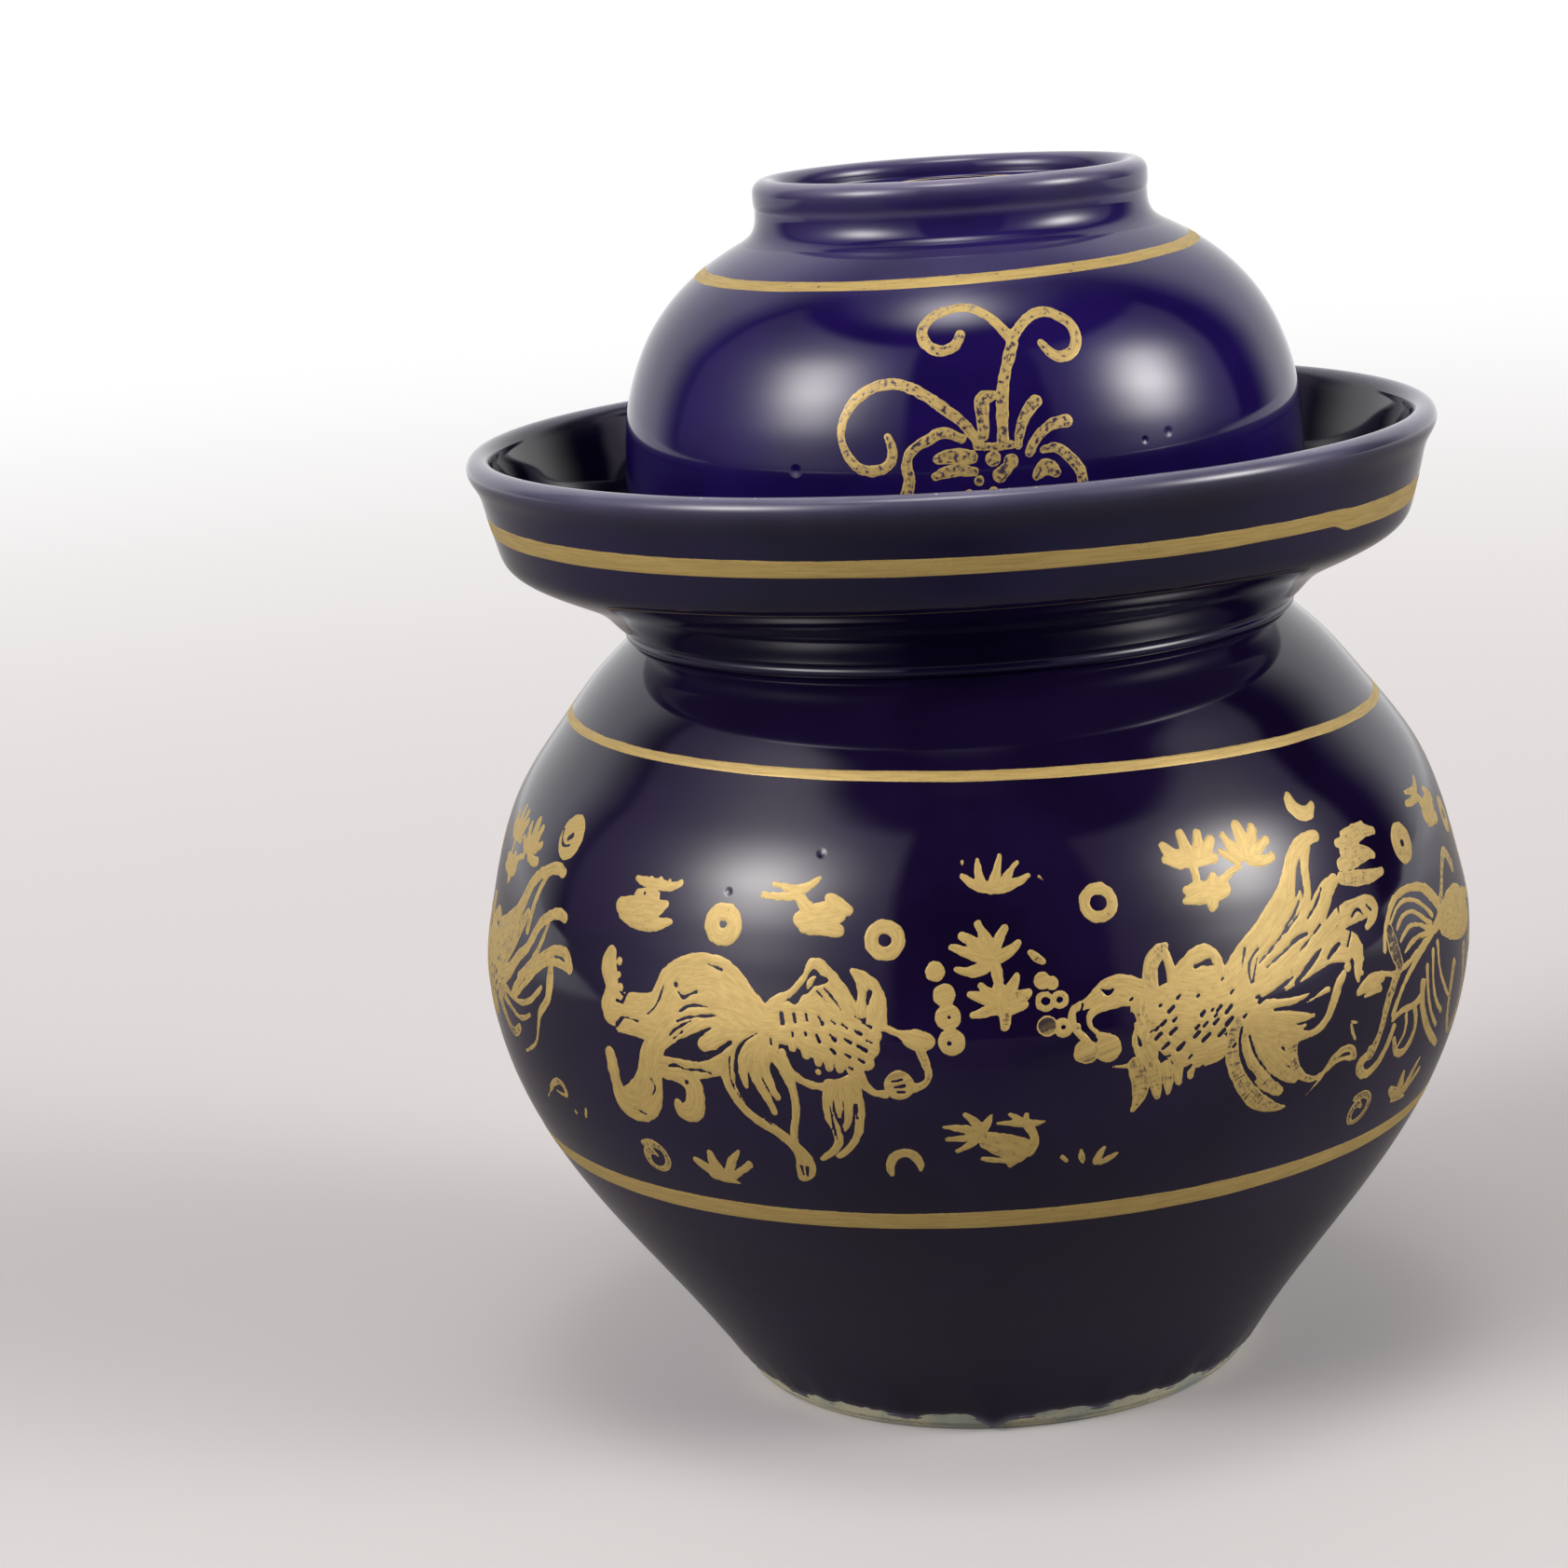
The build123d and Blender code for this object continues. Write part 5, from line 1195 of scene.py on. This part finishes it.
def recess_flower(name, petals):
    """Petals laid flat: each stroke's strip lies across its line, carried along it over the recess floor."""
    places, faces, depths, lanes = [], [], [], []
    share = np.linspace(-1, 1, 9)[None, :]
    for order, petal in enumerate(petals):
        line = smooth_line(petal, step=STROKE_STEP)
        half = line[:, 2:3]
        heading = np.gradient(line[:, :2], axis=0)
        heading /= np.linalg.norm(heading, axis=1)[:, None]
        x = line[:, :1] - heading[:, 1:2] * share * half
        y = line[:, 1:2] + heading[:, 0:1] * share * half
        depth = (1 - np.abs(share)) * half
        floor = np.interp(np.hypot(x, y), recess_floor[::-1, 0], recess_floor[::-1, 1])
        number = sum(len(part) for part in places) + np.arange(x.size).reshape(x.shape)
        places.append(np.stack([x + LID_AXIS, y, floor + paint_height(depth) + 0.02], -1).reshape(-1, 3))
        faces.append(np.stack([number[:-1, :-1], number[1:, :-1], number[1:, 1:], number[:-1, 1:]],
                              -1).reshape(-1, 4))
        depths.append(depth.ravel())
        along = np.arange(len(line))[:, None] * STROKE_STEP + 0 * x
        lanes.append(np.stack([share * half, along, np.full(x.shape, order * 4.1)], -1).reshape(-1, 3))
    depth = np.concatenate(depths)
    piece = gilded(name, np.vstack(places), np.vstack(faces)[:, ::-1], depth, np.full(len(depth), 0.7),
                   np.vstack(lanes), "bowl_lid")
    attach(piece, "bowl_lid")


recess_flower("flower_in_the_ring", PETALS)

# Which node each glazed piece stands for
for piece, nodes, body, slot in ((foot_clay, ["jar_body"], "jar", "bare_clay"),
                                 (jar_body, ["jar_body"], "jar", "jar_glaze"),
                                 (mouth_collar, ["mouth_collar"], "jar", "jar_glaze"),
                                 (water_trough, ["water_trough"], "jar", "trough_glaze"),
                                 (bowl_lid, ["bowl_lid"], "bowl_lid", "lid_glaze"),
                                 (foot_ring, ["lid_foot_ring"], "bowl_lid", "lid_glaze"),
                                 (inner_lid, ["inner_lid"], "inner_lid", "inner_lid_glaze"),
                                 (knob, ["inner_lid_knob"], "inner_lid", "inner_lid_glaze")):
    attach(piece, body)
    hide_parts(*nodes)

# Camera where the photograph's was: worked out from the jar's rings and outline
CAMERA_BACK, CAMERA_UP = 0.85977, 0.32007
FOCAL_PIXELS, PHOTO_PIXELS, SENSOR_WIDTH = 4257.98, 1683, 36
CAMERA_YAW, CAMERA_PITCH, CAMERA_ROLL = radians(-2.708), radians(-12.299), radians(-3.708)
lens = bpy.data.cameras.new("camera")
lens.sensor_width = SENSOR_WIDTH
lens.lens = FOCAL_PIXELS / PHOTO_PIXELS * SENSOR_WIDTH
lens.clip_start = 0.02
camera = bpy.data.objects.new("camera", lens)
bpy.context.scene.collection.objects.link(camera)
forward = Vector((sin(CAMERA_YAW) * cos(CAMERA_PITCH), cos(CAMERA_YAW) * cos(CAMERA_PITCH),
                  sin(CAMERA_PITCH)))
level = Vector((cos(CAMERA_YAW), -sin(CAMERA_YAW), 0))
upright = level.cross(forward)
rolled = level * cos(CAMERA_ROLL) + upright * sin(CAMERA_ROLL)
rolled_up = upright * cos(CAMERA_ROLL) - level * sin(CAMERA_ROLL)
turn = Matrix((rolled, rolled_up, -forward)).transposed()
camera.matrix_world = Matrix.Translation((0, -CAMERA_BACK, CAMERA_UP)) @ turn.to_4x4()
bpy.context.scene.camera = camera

# Floor: pale, and fading to the white background far from the jar. The glaze mirrors it darker, and darkest
# in front: in reflections and bounced light the floor is painted dark, a painted reflection.
PALE_FLOOR, DARK_BESIDE, DARK_IN_FRONT = (0.50, 0.49, 0.48), (0.19, 0.18, 0.17), (0.035, 0.033, 0.032)
FLOOR_REACH = 9
floor_mesh = bpy.data.meshes.new("floor")
floor_mesh.from_pydata([(x * FLOOR_REACH, y * FLOOR_REACH, 0) for x,
                        y in ((-1, -1), (1, -1), (1, 1), (-1, 1))],
                       [], [(0, 1, 2, 3)])
floor = bpy.data.objects.new("floor", floor_mesh)
bpy.context.scene.collection.objects.link(floor)
pale, floor_tree, pale_shader = material("pale_floor")
pale_shader.inputs["Roughness"].default_value = 0.8
floor_place = node(floor_tree, "ShaderNodeTexCoord").outputs["Object"]
floor_away = node(floor_tree, "ShaderNodeVectorMath", operation="LENGTH")
floor_tree.links.new(floor_place, floor_away.inputs[0])
far = ramp(floor_tree, floor_away.outputs["Value"], 0.35, 2.4)
floor_rays = node(floor_tree, "ShaderNodeLightPath").outputs
floor_sides = floor_tree.nodes.new("ShaderNodeSeparateXYZ")
floor_tree.links.new(floor_place, floor_sides.inputs[0])
forwards = sums(floor_tree, "MULTIPLY", floor_sides.outputs["Y"], -1.0)
sideways = sums(floor_tree, "MULTIPLY", sums(floor_tree, "ABSOLUTE", floor_sides.outputs["X"], 0.0), 1.1)
in_front = ramp(floor_tree, sums(floor_tree, "SUBTRACT", forwards, sideways), 0.05, 0.5)
# Painted reflection: the floor's colour for every ray but the camera's, darker in front
mirrored_floor = blend(floor_tree, in_front, DARK_BESIDE, DARK_IN_FRONT)
floor_colour = blend(floor_tree, floor_rays["Is Camera Ray"], mirrored_floor, PALE_FLOOR)
floor_tree.links.new(floor_colour, pale_shader.inputs["Base Color"])
floor_mirrored = sums(floor_tree, "ADD", floor_rays["Is Glossy Ray"], floor_rays["Is Transmission Ray"], True)
floor_mirrored = sums(floor_tree, "MULTIPLY", floor_mirrored,
                      ramp(floor_tree, floor_sides.outputs["Y"], 0.2, 0.9))
floor_seen = sums(floor_tree, "ADD", floor_rays["Is Camera Ray"], floor_mirrored, True)
white = node(floor_tree, "ShaderNodeEmission", Strength=1.0)
fade = floor_tree.nodes.new("ShaderNodeMixShader")
floor_tree.links.new(sums(floor_tree, "MULTIPLY", far, floor_seen), fade.inputs[0])
floor_tree.links.new(pale_shader.outputs[0], fade.inputs[1])
floor_tree.links.new(white.outputs[0], fade.inputs[2])
floor_tree.links.new(fade.outputs[0], floor_tree.nodes["Material Output"].inputs["Surface"])
floor_mesh.materials.append(pale)

# Surroundings: two soft round lamps in wide cloths of a cool violet, a small lamp overhead, darkness
# behind the camera, and pale sides and back. Directions are degrees from the camera's side towards +X,
# and degrees up.
world = bpy.data.worlds.new("surroundings")
bpy.context.scene.world = world
world.use_nodes = True
sky = world.node_tree
background = sky.nodes["Background"]
direction = node(sky, "ShaderNodeTexCoord").outputs["Generated"]
axes = sky.nodes.new("ShaderNodeSeparateXYZ")
sky.links.new(direction, axes.inputs[0])
to_the_right = sums(sky, "ARCTAN2", axes.outputs["X"], sums(sky, "MULTIPLY", axes.outputs["Y"], -1.0))
upwards = sums(sky, "ARCSINE", axes.outputs["Z"], 0.0)


def within(value, low, high, soft):
    """1 between two angles and 0 outside, with soft borders, in degrees."""
    rise = ramp(sky, value, radians(low - soft), radians(low + soft))
    fall = ramp(sky, value, radians(high - soft), radians(high + soft))
    return sums(sky, "MULTIPLY", rise, sums(sky, "SUBTRACT", 1.0, fall))


def glow(azimuth, elevation, width, strength):
    """A round lamp: its strength falls off as a bell curve of the angle from its middle."""
    a, e = radians(azimuth), radians(elevation)
    towards = node(sky, "ShaderNodeVectorMath", operation="DOT_PRODUCT")
    sky.links.new(direction, towards.inputs[0])
    towards.inputs[1].default_value = (sin(a) * cos(e), -cos(a) * cos(e), sin(e))
    short = sums(sky, "SUBTRACT", towards.outputs["Value"], 1.0)
    bell = sums(sky, "EXPONENT", sums(sky, "MULTIPLY", short, 2 / radians(width) ** 2), 0.0)
    return sums(sky, "MULTIPLY", bell, float(strength))


def total(parts):
    """Parts of the light added up."""
    whole = parts[0]
    for part in parts[1:]:
        whole = sums(sky, "ADD", whole, part)
    return whole


def softbox(left, right, low, high, parts):
    """A softbox: an even glow and its round lamps, seen only within four angles with soft borders."""
    window = sums(sky, "MULTIPLY", within(to_the_right, left, right, 2.5), within(upwards, low, high, 2.5))
    return sums(sky, "MULTIPLY", window, total(parts))


beside = sums(sky, "SUBTRACT", 1.0, within(to_the_right, -121, 127, 11))
dimmer_above = sums(sky, "MULTIPLY", 0.65, ramp(sky, upwards, radians(40), radians(64)))
beside = sums(sky, "MULTIPLY", beside, sums(sky, "SUBTRACT", 1.0, dimmer_above))
seen = node(sky, "ShaderNodeLightPath")
mirrored = sums(sky, "ADD", seen.outputs["Is Glossy Ray"], seen.outputs["Is Transmission Ray"], True)
back_level = sums(sky, "ADD", sums(sky, "MULTIPLY", mirrored, 0.4), 0.55)
LEFT_BOX, RIGHT_BOX = (-112, -20, -1, 57), (31, 106, -1, 50)
left_cloth = softbox(*LEFT_BOX, [glow(-62, 28, 48, 0.55)])
left_lamp = softbox(*LEFT_BOX, [glow(-56, 30, 13, 12.5), glow(-57, 31, 22, 3.0)])
right_cloth = softbox(*RIGHT_BOX, [glow(70, 20, 44, 0.5)])
right_lamp = softbox(*RIGHT_BOX, [glow(70, 23.5, 12, 16.0), glow(70, 23, 19, 2.6)])
high_up = ramp(sky, upwards, radians(62), radians(72))
overhead = sums(sky, "MULTIPLY", total([glow(-8, 80, 9, 9.0), glow(-8, 80, 20, 1.3)]), high_up)
cloths = total([left_cloth, right_cloth])
lamps = total([left_lamp, right_lamp, overhead])
sides = sums(sky, "MULTIPLY", beside, back_level)
CLOTH_COLOUR, LAMP_COLOUR = (1.09, 0.94, 1.36), (1.02, 0.99, 0.96)
mixed = sky.nodes.new("ShaderNodeCombineColor")
for channel in range(3):
    tinted = total([sums(sky, "MULTIPLY", cloths, CLOTH_COLOUR[channel]),
                    sums(sky, "MULTIPLY", lamps, LAMP_COLOUR[channel]), sides])
    sky.links.new(tinted, mixed.inputs[channel])
sky.links.new(blend(sky, seen.outputs["Is Camera Ray"], mixed.outputs[0], (1.0, 1.0, 1.0)),
              background.inputs["Color"])

bpy.context.scene.view_settings.view_transform = "Standard"
